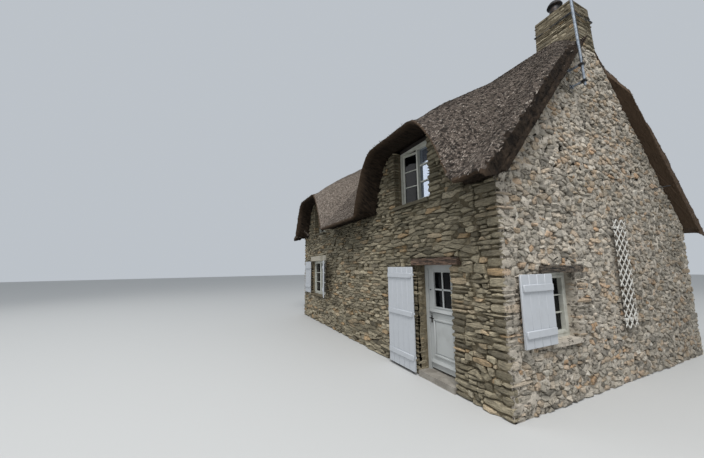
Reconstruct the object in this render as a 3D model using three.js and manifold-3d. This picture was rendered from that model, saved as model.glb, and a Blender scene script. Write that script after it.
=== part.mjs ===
// Thatched stone cottage with two eyebrow dormers, in millimetres, +Z up.
// The origin is on the ground under the plan centre of the walls. The front faces -Y and the
// gable that carries the chimney faces +X.
import * as THREE from "three";
import { mergeVertices } from "three/addons/utils/BufferGeometryUtils.js";
import Module from "manifold-3d";

const wasm = await Module();
wasm.setup();

// Walls
const HOUSE_LENGTH = 9300;
const HOUSE_DEPTH = 6050;
const WALL = 600;
const FRONT_WALL_TOP = 3150; // at the outer face of the front wall
const BACK_WALL_TOP = 2700; // at the outer face of the back wall
const SEAT = 0.3; // joint left between two pieces that touch
const OVERLAP = 2; // pieces of one solid run this far into each other
const PROUD = 30; // lintels and sills stand this far out of the wall
const PAST = 50; // a cut runs this far past the faces that it opens

// Floors
const FLOOR_TOP = 100;
const LOFT_FLOOR_TOP = 2450;
const LOFT_FLOOR_DEEP = 200;

// Thatch
const PITCH = 1.15; // rise for each unit of run, about 49 degrees
const COAT = 470; // thickness of the thatch measured upright
const VERGE = 160; // overhang past the gables
const EAVE_OUT = 500; // overhang past the front and back walls
const EAVE_DROP = 90; // the eave's lip hangs this far below the wall top
const RIDGE_CROWN = 6400; // top of the thatch under the ridge cap
const RIDGE_ROUND = 930; // run over which the slope rounds off to the ridge
const RIDGE_SWELL = 1.7; // power of that round
const LIP_SWELL = 70; // the coat thickens towards the eave by this much
const LIP_RUN = 550; // over this run
const CORNER_ROUND = 70; // how far the lip lifts and draws back at the verge
const CORNER_RUN = 350;
const COLUMNS = 88; // cross-sections of the thatch along the house
const UNDER_ROWS = 7; // points on each cross-section between wall face and ridge
const TOP_ROWS = 11;
const BACK_ROWS = 4; // points on the straight part of the back slope
const LIP_EDGE = 25; // bevel of the eave's lip
const LIP_FACE = 40; // least height of the lip's outer face
const RIDGE_STEPS = [0, 150, 300, 450, 620, 790, RIDGE_ROUND]; // runs at which the round is drawn
const THIN = 25; // least thickness of the coat, beside the chimney
// The coat is dressed down to the stack at the end of the verge
const NOSE = { long: 450, drop: 400, front: 1350, back: 2150, fade: 1100 };
// Behind the stack the verge starts out flush with the gable, and is full at the second place
const FLUSH = [450, 830];
const RIDGE_CAP = { wide: 300, thick: 55, edge: 34 }; // mortar along the ridge

// Eyebrow dormers, one over the door and one over the front window
const DORMERS = [2750, -2750];
const DORMER_WIDE = 1080;
const DORMER_SILL = 3160;
const DORMER_HEAD = 4360;
const DORMER_SET_BACK = 200; // wall face to window frame
const DORMER_PLATE = 85; // height of the timber over the window
// A brow rises from its foot to its flat crown, at these distances from the dormer's middle
const BROW = { rise: 1220, flat: 615, foot: 1335 }; // underside of the thatch at the wall face
const LIP = { rise: 1325, flat: 635, foot: 1555 }; // lower edge of the thatch at the eave
const CROWN = { ...LIP, rise: 1170 }; // what a brow adds to the top of the thatch at the eave
const BROW_ROUND = 0.45; // power that steepens a brow's flanks and rounds its crown
const BROW_SLOPE = 0.5; // the dormer's ceiling climbs inwards at this slope
const BROW_BACK = -600; // where the crown has died into the main slope

// Chimney on the east gable
const CHIMNEY = { wide: 640, deep: 720, topWide: 580, topDeep: 680, top: 6970, slates: 6660 };
const SLATE = 20; // thickness of the drip course
const SLATE_OUT = 40;
const COWL_AT = -80; // from the middle of the stack along X
// Outline of the cowl from its foot to the top of its hood: radius and height
const COWL = [
  [0, 0],
  [125, 0],
  [105, 60],
  [95, 290],
  [95, 310],
  [140, 330],
  [90, 415],
  [0, 440],
];

// Openings: centre along the wall, width, sill and head
const DOOR = { at: 3275, wide: 850, head: 1955 };
const FRONT_WINDOW = { at: -2850, wide: 1400, sill: 950, head: 2150 };
const GABLE_WINDOW = { at: -1740, wide: 690, sill: 850, head: 1820 };
const BACK_WINDOWS = [2200, -2200].map((at) => ({ at, wide: 800, sill: 1050, head: 1950 }));
const LINTEL = { door: 115, gable: 95, stone: 180 }; // heights
const DOOR_LINTEL_ENDS = [2750, 3900];
const STONE_BEARING = 150;
const GABLE_LINTEL_BEARING = 185;
const SILL = 60;

// Scaffold holes left in the gable: distance from the front corner, and height
const POCKETS = [
  [1645, 3820],
  [3820, 4540],
  [3950, 3700],
];
const POCKET = { wide: 120, deep: 260 };

// Joinery
const FRAME = { wide: 45, deep: 60 };
const CASEMENT = { wide: 45, deep: 40, gap: 4 };
const GLASS = 4;
const GLASS_LAP = 15; // a sheet of glass overlaps its frame by this much
const AJAR = 14; // degrees that the east dormer's left casement stands open
const FRONT_WINDOW_SET_BACK = 100; // from the wall face to the window frame
const GABLE_WINDOW_SET_BACK = 160;
const DOOR_SET_BACK = 210; // from the wall face to the door frame
const DOOR_FRAME = { wide: 60, stop: 15, stopDeep: 18, deep: 80 };
const LEAF = { thick: 45, gap: 9, behindStop: 7, bottom: 135, split: 1101, splitGap: 8 };
const LEAF_PIVOT = { fromJamb: 5, behindFrame: 8, radius: 7, knuckle: 40, flap: 40, fromEnd: 130 };
const HANDLE = { z: 1000, inset: 50, plate: [36, 4, 170], reach: 46, lever: 110, radius: 8 };
const LIGHT = { wide: 410, bottom: 1210, top: 1820 }; // glazed part of the upper leaf

// Shutters: boards with ledges across their inner face, hung on pintles
const BOARD = 28;
const LEDGE = { deep: 25, high: 95, inset: 22 };
const SHUTTER_OUT = 60; // pivot to wall face
const SHUTTER_PAST = 8; // pivot to the opening's edge
const SHUTTER_EDGE = 14; // pivot to the first board
const SHUTTER_GAP = 10; // above and below a leaf
const PINTLE = { radius: 8, high: 25, knuckle: 34 };
const FRONT_SHUTTER_AJAR = 18; // degrees that the right leaf stands off the wall

// Fittings on the chimney gable
const MAST = { x: 4850, y: -860, bottom: 4950, long: 2400, radius: 20, brackets: [5030, 5330] };
const MAST_LEAN = THREE.MathUtils.degToRad(4.5); // towards the front
const TRELLIS = { y: 85, wide: 430, bottom: 850, top: 2720, bar: 22, thick: 8, pitch: 170, out: 32 };
const TRELLIS_LEAN = Math.PI / 4;

const EAST = HOUSE_LENGTH / 2;
const FRONT = -HOUSE_DEPTH / 2;
const BACK = HOUSE_DEPTH / 2;
const INNER_EAST = EAST - WALL;
const INNER_FRONT = FRONT + WALL;
const INNER_BACK = BACK - WALL;
const RIDGE_Y = (BACK_WALL_TOP - FRONT_WALL_TOP) / (2 * PITCH);
const APEX = FRONT_WALL_TOP + PITCH * (RIDGE_Y - FRONT);
const FLAT = APEX - (PITCH * CHIMNEY.wide) / 2; // level top of the gables, under the chimney

const paint = (colour, roughness, metalness = 0) =>
  new THREE.MeshStandardMaterial({ color: colour, roughness, metalness });
const STONE = paint(0x9a9285, 0.95);
const PALE_STONE = paint(0xb4ac9d, 0.9);
const THATCH = paint(0x6f655d, 1);
const MORTAR = paint(0xa39c90, 0.95);
const SLATES = paint(0x3e4247, 0.7);
const OLD_TIMBER = paint(0x5b4436, 0.85);
const FLOOR_BOARDS = paint(0x8a6f52, 0.7);
const WHITE_PAINT = paint(0xe4e8ea, 0.5);
const DOOR_PAINT = paint(0xcfd3c8, 0.5);
const PANE = paint(0x9fb0b4, 0.08);
const IRON = paint(0x3a3a3a, 0.6, 0.8);
const ZINC = paint(0x8d9195, 0.45, 0.8);

const cottage = new THREE.Group();

function add(name, material, geometry, parent = cottage) {
  const mesh = new THREE.Mesh(geometry, material);
  mesh.name = name;
  parent.add(mesh);
  return mesh;
}

function box(low, high) {
  const size = low.map((v, i) => high[i] - v);
  const centre = low.map((v, i) => (high[i] + v) / 2);
  return new THREE.BoxGeometry(...size).translate(...centre);
}

// A plate whose outline lies in the X-Z plane, from y0 back to y1
function frontPlate(shape, y0, y1) {
  const geometry = new THREE.ExtrudeGeometry(shape, { depth: y1 - y0, bevelEnabled: false });
  return geometry.rotateX(Math.PI / 2).translate(0, y1, 0);
}

// A plate whose outline lies in the Y-Z plane, from x0 to x1
function gablePlate(shape, x0, x1) {
  const turn = new THREE.Matrix4().makeBasis(
    new THREE.Vector3(0, 1, 0),
    new THREE.Vector3(0, 0, 1),
    new THREE.Vector3(1, 0, 0),
  );
  const geometry = new THREE.ExtrudeGeometry(shape, { depth: x1 - x0, bevelEnabled: false });
  return geometry.applyMatrix4(turn).translate(x0, 0, 0);
}

const outline = (points) => new THREE.Shape(points.map(([u, v]) => new THREE.Vector2(u, v)));
const rectangle = (u0, v0, u1, v1) => [
  [u0, v0],
  [u1, v0],
  [u1, v1],
  [u0, v1],
];

function solidOf(geometry) {
  const bare = geometry.clone();
  bare.deleteAttribute("normal");
  bare.deleteAttribute("uv");
  const merged = mergeVertices(bare, 1e-3);
  return new wasm.Manifold(
    new wasm.Mesh({
      numProp: 3,
      vertProperties: merged.getAttribute("position").array,
      triVerts: new Uint32Array(merged.index.array),
    }),
  );
}

function geometryOf(solid) {
  const mesh = solid.getMesh();
  const geometry = new THREE.BufferGeometry();
  geometry.setAttribute("position", new THREE.BufferAttribute(mesh.vertProperties, 3));
  geometry.setIndex(new THREE.BufferAttribute(mesh.triVerts, 1));
  return geometry;
}

const join = (parts) =>
  geometryOf(parts.map(solidOf).reduce((whole, part) => whole.add(part)));
const cut = (geometry, tools) =>
  geometryOf(tools.map(solidOf).reduce((rest, tool) => rest.subtract(tool), solidOf(geometry)));

// A plate between a and b with holes right through it
function pierced(plate, outer, holes, a, b) {
  const tools = holes.map((hole) => plate(outline(hole), a - PAST, b + PAST));
  return cut(plate(outline(outer), a, b), tools);
}

// The thatch's cross-sections stand at these places along the house
const columnX = Array.from(
  { length: COLUMNS + 1 },
  (_, i) => -(EAST + VERGE) + (2 * (EAST + VERGE) * i) / COLUMNS,
);

const smooth = (t) => {
  const u = Math.min(1, Math.max(0, t));
  return u * u * (3 - 2 * u);
};

// Height of a brow above the straight eave at x
function arch(x, { rise, flat, foot }) {
  const share = (at) => smooth((foot - Math.abs(x - at)) / (foot - flat)) ** BROW_ROUND;
  return DORMERS.reduce((z, at) => z + rise * share(at), 0);
}

// Underside of the thatch at the wall face, straight between two cross-sections
function wallTop(x) {
  const step = columnX[1] - columnX[0];
  const i = Math.min(COLUMNS - 1, Math.floor((x - columnX[0]) / step));
  const t = (x - columnX[i]) / step;
  const low = arch(columnX[i], BROW);
  return FRONT_WALL_TOP + low + (arch(columnX[i + 1], BROW) - low) * t;
}

const mainSoffit = (y) => Math.min(FLAT, APEX - PITCH * Math.abs(y - RIDGE_Y));

function mainTop(y) {
  const run = Math.abs(y - RIDGE_Y);
  if (run >= RIDGE_ROUND) return APEX + COAT - PITCH * run;
  const shoulder = APEX + COAT - PITCH * RIDGE_ROUND;
  return RIDGE_CROWN - (RIDGE_CROWN - shoulder) * (run / RIDGE_ROUND) ** RIDGE_SWELL;
}

// How far the coat is dressed down at x, at this run from the ridge and out to reach
const nose = (x, run, reach) =>
  NOSE.drop * smooth((x - EAST - VERGE) / NOSE.long + 1) * smooth((reach - run) / NOSE.fade);

// Evenly spaced places between two others
const between = (from, to, count) =>
  Array.from({ length: count }, (_, i) => from + ((to - from) * (i + 1)) / (count + 1));

// Cross-section of the front slope at x, from the ridge down the underside and up the top
function frontSection(x) {
  const corner = CORNER_ROUND * smooth((Math.abs(x) - EAST - VERGE + CORNER_RUN) / CORNER_RUN);
  const lipY = FRONT - EAVE_OUT + corner;
  const lipZ = FRONT_WALL_TOP - EAVE_DROP + arch(x, LIP) + corner;
  const browZ = FRONT_WALL_TOP + arch(x, BROW);
  const under = (y) => Math.max(mainSoffit(y), Math.min(FLAT, browZ + BROW_SLOPE * (y - FRONT)));
  const top = (y) => {
    const fade = smooth((BROW_BACK - y) / (BROW_BACK - FRONT + EAVE_OUT));
    const swell = LIP_SWELL * Math.max(0, 1 - (y - lipY) / LIP_RUN);
    const full = mainTop(y) + arch(x, CROWN) * fade + swell;
    return Math.max(lipZ + LIP_FACE, under(y) + THIN, full - nose(x, RIDGE_Y - y, NOSE.front));
  };
  const stack = RIDGE_Y - CHIMNEY.wide / 2;
  const shoulder = RIDGE_Y - RIDGE_ROUND;
  const lipTop = lipY + LIP_EDGE;
  const points = [[RIDGE_Y - SEAT / 2, FLAT]];
  for (const y of [stack, ...between(stack, FRONT, UNDER_ROWS), FRONT]) points.push([y, under(y)]);
  points.push([(FRONT + lipY) / 2, browZ + (lipZ - browZ) / 2 + corner / 2]);
  points.push([lipY + LIP_EDGE, lipZ]);
  points.push([lipY, lipZ + LIP_EDGE]);
  for (const y of [lipTop, ...between(lipTop, shoulder, TOP_ROWS)]) points.push([y, top(y)]);
  for (const run of RIDGE_STEPS.slice().reverse()) {
    const y = RIDGE_Y - Math.max(run, SEAT / 2);
    points.push([y, top(y)]);
  }
  return points;
}

// A closed skin over equal rings of points at each place along X
function loft(places, section) {
  const rings = places.map(section);
  const size = rings[0].length;
  const positions = rings.flatMap((points, i) => points.flatMap(([y, z]) => [places[i], y, z]));
  const index = [];
  for (let i = 0; i + 1 < rings.length; i++)
    for (let j = 0; j < size; j++) {
      const a = i * size + j;
      const b = i * size + ((j + 1) % size);
      index.push(a, b + size, b, a, a + size, b + size);
    }
  const lid = (points) => THREE.ShapeUtils.triangulateShape(outline(points).getPoints(), []);
  const last = (rings.length - 1) * size;
  for (const [a, b, c] of lid(rings[0])) index.push(c, b, a);
  for (const [a, b, c] of lid(rings.at(-1))) index.push(last + a, last + b, last + c);
  const geometry = new THREE.BufferGeometry();
  geometry.setAttribute("position", new THREE.Float32BufferAttribute(positions, 3));
  geometry.setIndex(index);
  return geometry;
}

// Ground floor, threshold and loft floor
function floors() {
  const inside = (z0, z1) =>
    box([SEAT - INNER_EAST, INNER_FRONT + SEAT, z0], [INNER_EAST - SEAT, INNER_BACK - SEAT, z1]);
  add("floor_slab", PALE_STONE, inside(0, FLOOR_TOP));
  add("loft_floor", FLOOR_BOARDS, inside(LOFT_FLOOR_TOP - LOFT_FLOOR_DEEP, LOFT_FLOOR_TOP));
  const half = DOOR.wide / 2 - SEAT;
  const step = box([DOOR.at - half, FRONT - 20, 0], [DOOR.at + half, INNER_FRONT - SEAT, FLOOR_TOP]);
  add("threshold_stone", PALE_STONE, step);
}

const sidesOf = ({ at, wide }) => [at - wide / 2, at + wide / 2];

// Top edge of the front wall between two places, from east to west
function topEdge(east, west) {
  const inner = columnX.filter((x) => x > west + 1 && x < east - 1).reverse();
  return [east, ...inner, west].map((x) => [x, wallTop(x) - SEAT]);
}

// The front wall stands between the gables, split at the doorway and round the window
function frontWall() {
  const [doorWest, doorEast] = sidesOf(DOOR);
  const [windowWest, windowEast] = sidesOf(FRONT_WINDOW);
  const [farWest] = sidesOf({ at: DORMERS[1], wide: DORMER_WIDE });
  const [sillWest, sillEast] = sidesOf({ at: DORMERS[0], wide: DORMER_WIDE });
  const lintelTop = DOOR.head + LINTEL.door;
  const stoneTop = FRONT_WINDOW.head + LINTEL.stone;
  const ledge = DORMER_SILL - SILL;
  const wall = (name, points, fittings = []) =>
    add(name, STONE, join([frontPlate(outline(points), FRONT, INNER_FRONT), ...fittings]));

  const east = [
    [doorEast, 0],
    [INNER_EAST - SEAT, 0],
    ...topEdge(INNER_EAST - SEAT, doorEast),
    [doorEast, lintelTop + SEAT],
    [DOOR_LINTEL_ENDS[1] + SEAT, lintelTop + SEAT],
    [DOOR_LINTEL_ENDS[1] + SEAT, DOOR.head - SEAT],
    [doorEast, DOOR.head - SEAT],
  ];
  wall("front_wall_east", east);

  const overDoor = [
    [doorWest + SEAT, lintelTop + SEAT],
    [doorEast - SEAT, lintelTop + SEAT],
    ...topEdge(doorEast - SEAT, sillEast),
    [sillEast, ledge],
    [doorWest + SEAT, ledge],
  ];
  wall("front_wall_over_door", overDoor);

  const middle = [
    [windowEast, 0],
    [doorWest, 0],
    [doorWest, DOOR.head - SEAT],
    [DOOR_LINTEL_ENDS[0] - SEAT, DOOR.head - SEAT],
    [DOOR_LINTEL_ENDS[0] - SEAT, lintelTop + SEAT],
    [doorWest, lintelTop + SEAT],
    [doorWest, ledge],
    [sillWest, ledge],
    ...topEdge(sillWest, windowEast),
    [windowEast, stoneTop + SEAT],
    [windowEast + STONE_BEARING + SEAT, stoneTop + SEAT],
    [windowEast + STONE_BEARING + SEAT, FRONT_WINDOW.head - SEAT],
    [windowEast, FRONT_WINDOW.head - SEAT],
  ];
  wall("front_wall_middle", middle, [...pintles("door_shutter"), ...pintles("front_shutter_right")]);

  const [low, high] = [FRONT_WINDOW.sill - SILL, FRONT_WINDOW.sill];
  const under = (z0, z1) => rectangle(windowWest + SEAT, z0, windowEast - SEAT, z1);
  const sill = frontPlate(outline(under(low, high)), FRONT - PROUD, INNER_FRONT);
  wall("front_wall_under_window", under(0, high - SEAT), [sill]);

  const overWindow = [
    [windowWest + SEAT, stoneTop + SEAT],
    [windowEast - SEAT, stoneTop + SEAT],
    [windowEast - SEAT, ledge],
    [farWest, ledge],
    ...topEdge(farWest, windowWest + SEAT),
  ];
  wall("front_wall_over_window", overWindow);

  const west = [
    [SEAT - INNER_EAST, 0],
    [windowWest, 0],
    [windowWest, FRONT_WINDOW.head - SEAT],
    [windowWest - STONE_BEARING - SEAT, FRONT_WINDOW.head - SEAT],
    [windowWest - STONE_BEARING - SEAT, stoneTop + SEAT],
    [windowWest, stoneTop + SEAT],
    ...topEdge(windowWest, SEAT - INNER_EAST),
  ];
  wall("front_wall_west", west, pintles("front_shutter_left"));
}

const openingIn = ({ at, wide, sill, head }) =>
  rectangle(at - wide / 2, sill, at + wide / 2, head);

// A stone sill that is built into the wall on both sides of an opening
const sillIn = ({ at, wide, sill }) =>
  rectangle(at - wide / 2 - SILL, sill - SILL, at + wide / 2 + SILL, sill);

// The space of a lintel that bears past both sides of an opening
function lintelSpace({ at, wide, head }, bearing, high, gap = 0) {
  const half = wide / 2 + bearing + gap;
  return rectangle(at - half, head - gap, at + half, head + high + gap);
}

// The two gables run the full depth of the house and carry the ends of the roof
function gableWalls() {
  const profile = [
    [FRONT, 0],
    [BACK, 0],
    [BACK, BACK_WALL_TOP - SEAT],
    [RIDGE_Y + CHIMNEY.wide / 2, FLAT - SEAT],
    [RIDGE_Y - CHIMNEY.wide / 2, FLAT - SEAT],
    [FRONT, FRONT_WALL_TOP - SEAT],
  ];
  const lintel = lintelSpace(GABLE_WINDOW, GABLE_LINTEL_BEARING, LINTEL.gable, SEAT);
  const holes = POCKETS.map(([along, z]) => {
    const [y, half] = [FRONT + along, POCKET.wide / 2];
    return box([EAST - POCKET.deep, y - half, z - half], [EAST + PAST, y + half, z + half]);
  });
  holes.push(gablePlate(outline(lintel), INNER_EAST - PAST, EAST + PAST));
  holes.push(gablePlate(outline(openingIn(GABLE_WINDOW)), INNER_EAST - PAST, EAST + PAST));
  const fittings = [
    gablePlate(outline(sillIn(GABLE_WINDOW)), INNER_EAST, EAST + PROUD),
    ...pintles("gable_shutter"),
  ];
  const east = cut(gablePlate(outline(profile), INNER_EAST, EAST), holes);
  add("gable_wall_east", STONE, join([east, ...fittings]));
  add("gable_wall_west", STONE, gablePlate(outline(profile), -EAST, -INNER_EAST));
}

function backWall() {
  const [y0, y1] = [INNER_BACK - PAST, BACK + PAST];
  const holes = BACK_WINDOWS.map((window) => frontPlate(outline(openingIn(window)), y0, y1));
  const plain = rectangle(SEAT - INNER_EAST, 0, INNER_EAST - SEAT, BACK_WALL_TOP - SEAT);
  const stones = BACK_WINDOWS.flatMap((window) => [
    frontPlate(outline(sillIn(window)), INNER_BACK, BACK + PROUD),
    frontPlate(
      outline(lintelSpace(window, STONE_BEARING, LINTEL.stone)),
      INNER_BACK,
      BACK + PROUD / 2,
    ),
  ]);
  const wall = cut(frontPlate(outline(plain), INNER_BACK, BACK), holes);
  add("back_wall", STONE, join([wall, ...stones]));
}

// Cross-section of the back slope at x, from the lip up the underside and down the top
function backSection(x) {
  const tip = BACK + EAVE_OUT;
  const lipZ = BACK_WALL_TOP - EAVE_DROP;
  const top = (y) =>
    Math.max(mainSoffit(y) + THIN, mainTop(y) - nose(x, y - RIDGE_Y, NOSE.back));
  const rounded = RIDGE_STEPS.map((run) => RIDGE_Y + Math.max(run, SEAT / 2));
  const straight = between(rounded.at(-1), tip - LIP_RUN, BACK_ROWS);
  return [
    [tip - LIP_EDGE, lipZ],
    [BACK, BACK_WALL_TOP],
    [RIDGE_Y + CHIMNEY.wide / 2, FLAT],
    [RIDGE_Y + SEAT / 2, FLAT],
    ...[...rounded, ...straight, tip - LIP_RUN].map((y) => [y, top(y)]),
    [tip - LIP_RUN / 2, top(tip - LIP_RUN / 2) + LIP_SWELL / 2],
    [tip - LIP_EDGE, lipZ + LIP_FACE],
    [tip, lipZ + LIP_EDGE],
  ];
}

// Both slopes, cut round the chimney
function thatch() {
  const half = CHIMNEY.wide / 2 + SEAT;
  const hole = box(
    [EAST - CHIMNEY.deep - SEAT, RIDGE_Y - half, FLAT - PAST],
    [EAST + VERGE + PAST, RIDGE_Y + half, RIDGE_CROWN + PAST],
  );
  add("thatch_front", THATCH, cut(loft(columnX, frontSection), [hole]));
  const end = EAST + VERGE;
  const places = [-end, end - NOSE.long, ...between(end - NOSE.long, end, 2), end];
  const past = end + PAST;
  const plan = outline([[EAST, 0], [past, 0], [past, FLUSH[1]], [end, FLUSH[1]], [EAST, FLUSH[0]]]);
  const bare = new THREE.ExtrudeGeometry(plan, { depth: RIDGE_CROWN, bevelEnabled: false });
  add("thatch_back", THATCH, cut(loft(places, backSection), [hole, bare]));
}

// Mortar cap that lies over both slopes along the ridge, up to the chimney
function ridgeCap() {
  const runs = RIDGE_STEPS.filter((run) => run <= RIDGE_CAP.wide);
  const ys = runs.map((run) => RIDGE_Y + run);
  ys.unshift(...runs.slice(1).map((run) => RIDGE_Y - run).reverse());
  const thick = (y) =>
    RIDGE_CAP.thick - ((RIDGE_CAP.thick - RIDGE_CAP.edge) * Math.abs(y - RIDGE_Y)) / RIDGE_CAP.wide;
  const under = ys.map((y) => [y, mainTop(y) + SEAT]);
  const over = ys.map((y) => [y, mainTop(y) + thick(y)]);
  const cap = outline([...under, ...over.reverse()]);
  add("ridge_cap", MORTAR, gablePlate(cap, -(EAST + VERGE), EAST - CHIMNEY.deep - SEAT));
}

// A block whose top is narrower than its foot, standing on z0
function tapered([deep, wide], [topDeep, topWide], z0, z1) {
  const geometry = new THREE.BoxGeometry(deep, wide, z1 - z0);
  const position = geometry.getAttribute("position");
  for (let i = 0; i < position.count; i++) {
    if (position.getZ(i) < 0) continue;
    position.setX(i, (position.getX(i) * topDeep) / deep);
    position.setY(i, (position.getY(i) * topWide) / wide);
  }
  return geometry.translate(0, 0, (z0 + z1) / 2);
}

// The stack stands on the level top of the gable, with a drip course of slates and a cowl
function chimney() {
  const stack = new THREE.Group();
  stack.position.set(EAST - CHIMNEY.deep / 2, RIDGE_Y, 0);
  cottage.add(stack);
  const high = CHIMNEY.top - FLAT;
  const sizeAt = (z) => {
    const t = (z - FLAT) / high;
    const narrow = (foot, top) => foot + (top - foot) * t;
    return [narrow(CHIMNEY.deep, CHIMNEY.topDeep), narrow(CHIMNEY.wide, CHIMNEY.topWide)];
  };
  const { slates, top } = CHIMNEY;
  add("chimney_stack", STONE, tapered(sizeAt(FLAT), sizeAt(top), FLAT, top), stack);
  const [deep, wide] = sizeAt(slates);
  const around = (past, z0, z1) =>
    box([-deep / 2 - past, -wide / 2 - past, z0], [deep / 2 + past, wide / 2 + past, z1]);
  const course = cut(around(SLATE_OUT, slates, slates + SLATE), [around(SEAT, slates - PAST, top)]);
  add("chimney_slates", SLATES, course, stack);

  const profile = COWL.map(([radius, z]) => new THREE.Vector2(radius, z));
  const cowl = new THREE.LatheGeometry(profile, 20).rotateX(Math.PI / 2);
  add("chimney_cowl", IRON, cowl, stack).position.set(COWL_AT, 0, top + SEAT);
}

// Timber over the doorway and the gable window, stone over the front window
function lintels() {
  const [x0, x1] = DOOR_LINTEL_ENDS;
  const top = DOOR.head + LINTEL.door;
  add("door_lintel", OLD_TIMBER, box([x0, FRONT - PROUD, DOOR.head], [x1, INNER_FRONT, top]));
  const gable = lintelSpace(GABLE_WINDOW, GABLE_LINTEL_BEARING, LINTEL.gable);
  add("gable_window_lintel", OLD_TIMBER, gablePlate(outline(gable), INNER_EAST, EAST + PROUD));
  const front = lintelSpace(FRONT_WINDOW, STONE_BEARING, LINTEL.stone);
  const stone = frontPlate(outline(front), FRONT - PROUD / 2, INNER_FRONT);
  add("front_window_lintel", PALE_STONE, stone);
}

// Sill and lintel of each dormer
function dormers() {
  const half = DORMER_WIDE / 2 - SEAT;
  DORMERS.forEach((at, i) => {
    const low = [at - half, FRONT - PROUD, DORMER_SILL - SILL + SEAT];
    add(`dormer_${i + 1}_sill`, PALE_STONE, box(low, [at + half, INNER_FRONT, DORMER_SILL]));
    const under = [at - half, FRONT + DORMER_SET_BACK, DORMER_HEAD + SEAT];
    const over = [at + half, INNER_FRONT, DORMER_HEAD + DORMER_PLATE];
    add(`dormer_${i + 1}_lintel`, OLD_TIMBER, box(under, over));
  });
}

// One casement in its own frame: its hinge edge is at x = 0 and its inner face at y = 0
function casement(wide, high) {
  const { wide: rail, deep, gap } = CASEMENT;
  const inset = (edge) => rectangle(SEAT + edge, gap + edge, wide - edge, high - gap - edge);
  return {
    leaf: pierced(frontPlate, inset(0), [inset(rail)], -deep, 0),
    pane: frontPlate(outline(inset(rail + SEAT)), -deep / 2 - GLASS, -deep / 2),
  };
}

// A window with two casements. A shut one is one piece with the frame, and a sheet of glass lies
// against its inner face. The left one may stand ajar, and is then a leaf of its own.
function pairWindow(name, { at, wide, sill, head }, face, ajar = 0) {
  const half = wide / 2 - SEAT;
  const [z0, z1] = [sill + SEAT, head - SEAT];
  const edge = FRAME.wide + CASEMENT.wide;
  const light = (from, to) => rectangle(from, z0 + edge, to, z1 - edge);
  const open = rectangle(at - half + FRAME.wide, z0 + FRAME.wide, at, z1 - FRAME.wide);
  const left = ajar ? open : light(at - half + edge, at - CASEMENT.wide);
  const lights = [left, light(at + CASEMENT.wide, at + half - edge)];
  const outer = rectangle(at - half, z0, at + half, z1);
  const inside = face + FRAME.deep;
  add(`${name}_frame`, WHITE_PAINT, pierced(frontPlate, outer, lights, face, inside));

  const from = ajar ? at + GLASS_LAP : at - half + edge - GLASS_LAP;
  const to = at + half - edge + GLASS_LAP;
  const sheet = outline(rectangle(from, z0 + edge - GLASS_LAP, to, z1 - edge + GLASS_LAP));
  add(`${name}_glass`, PANE, frontPlate(sheet, inside + SEAT, inside + SEAT + GLASS));
  if (!ajar) return;
  const { leaf, pane } = casement(half - FRAME.wide - CASEMENT.gap, z1 - z0 - 2 * FRAME.wide);
  const hung = new THREE.Group();
  hung.position.set(at - half + FRAME.wide, inside, z0 + FRAME.wide);
  hung.rotation.z = THREE.MathUtils.degToRad(ajar);
  cottage.add(hung);
  add(`${name}_casement`, WHITE_PAINT, leaf, hung);
  add(`${name}_casement_glass`, PANE, pane, hung);
}

// A window with one casement, whose outer face lies at face along the plate's own axis
function singleWindow(name, { at, wide, sill, head }, plate, face) {
  const half = wide / 2 - SEAT;
  const [z0, z1] = [sill + SEAT, head - SEAT];
  const inset = (edge) => rectangle(at - half + edge, z0 + edge, at + half - edge, z1 - edge);
  const edge = FRAME.wide + CASEMENT.wide;
  const inside = face - FRAME.deep;
  add(`${name}_frame`, WHITE_PAINT, pierced(plate, inset(0), [inset(edge)], inside, face));
  const sheet = outline(inset(edge - GLASS_LAP));
  add(`${name}_glass`, PANE, plate(sheet, inside - SEAT - GLASS, inside - SEAT));
}

function windows() {
  DORMERS.forEach((at, i) => {
    const size = { at, wide: DORMER_WIDE, sill: DORMER_SILL, head: DORMER_HEAD };
    pairWindow(`dormer_${i + 1}_window`, size, FRONT + DORMER_SET_BACK, i === 0 ? AJAR : 0);
  });
  pairWindow("front_window", FRONT_WINDOW, FRONT + FRONT_WINDOW_SET_BACK);
  singleWindow("gable_window", GABLE_WINDOW, gablePlate, EAST - GABLE_WINDOW_SET_BACK);
  BACK_WINDOWS.forEach((window, i) =>
    singleWindow(`back_window_${i + 1}`, window, frontPlate, BACK - GABLE_WINDOW_SET_BACK),
  );
}

const upright = (radius, x, y, z0, z1) =>
  new THREE.CylinderGeometry(radius, radius, z1 - z0, 12)
    .rotateX(Math.PI / 2)
    .translate(x, y, (z0 + z1) / 2);

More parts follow.
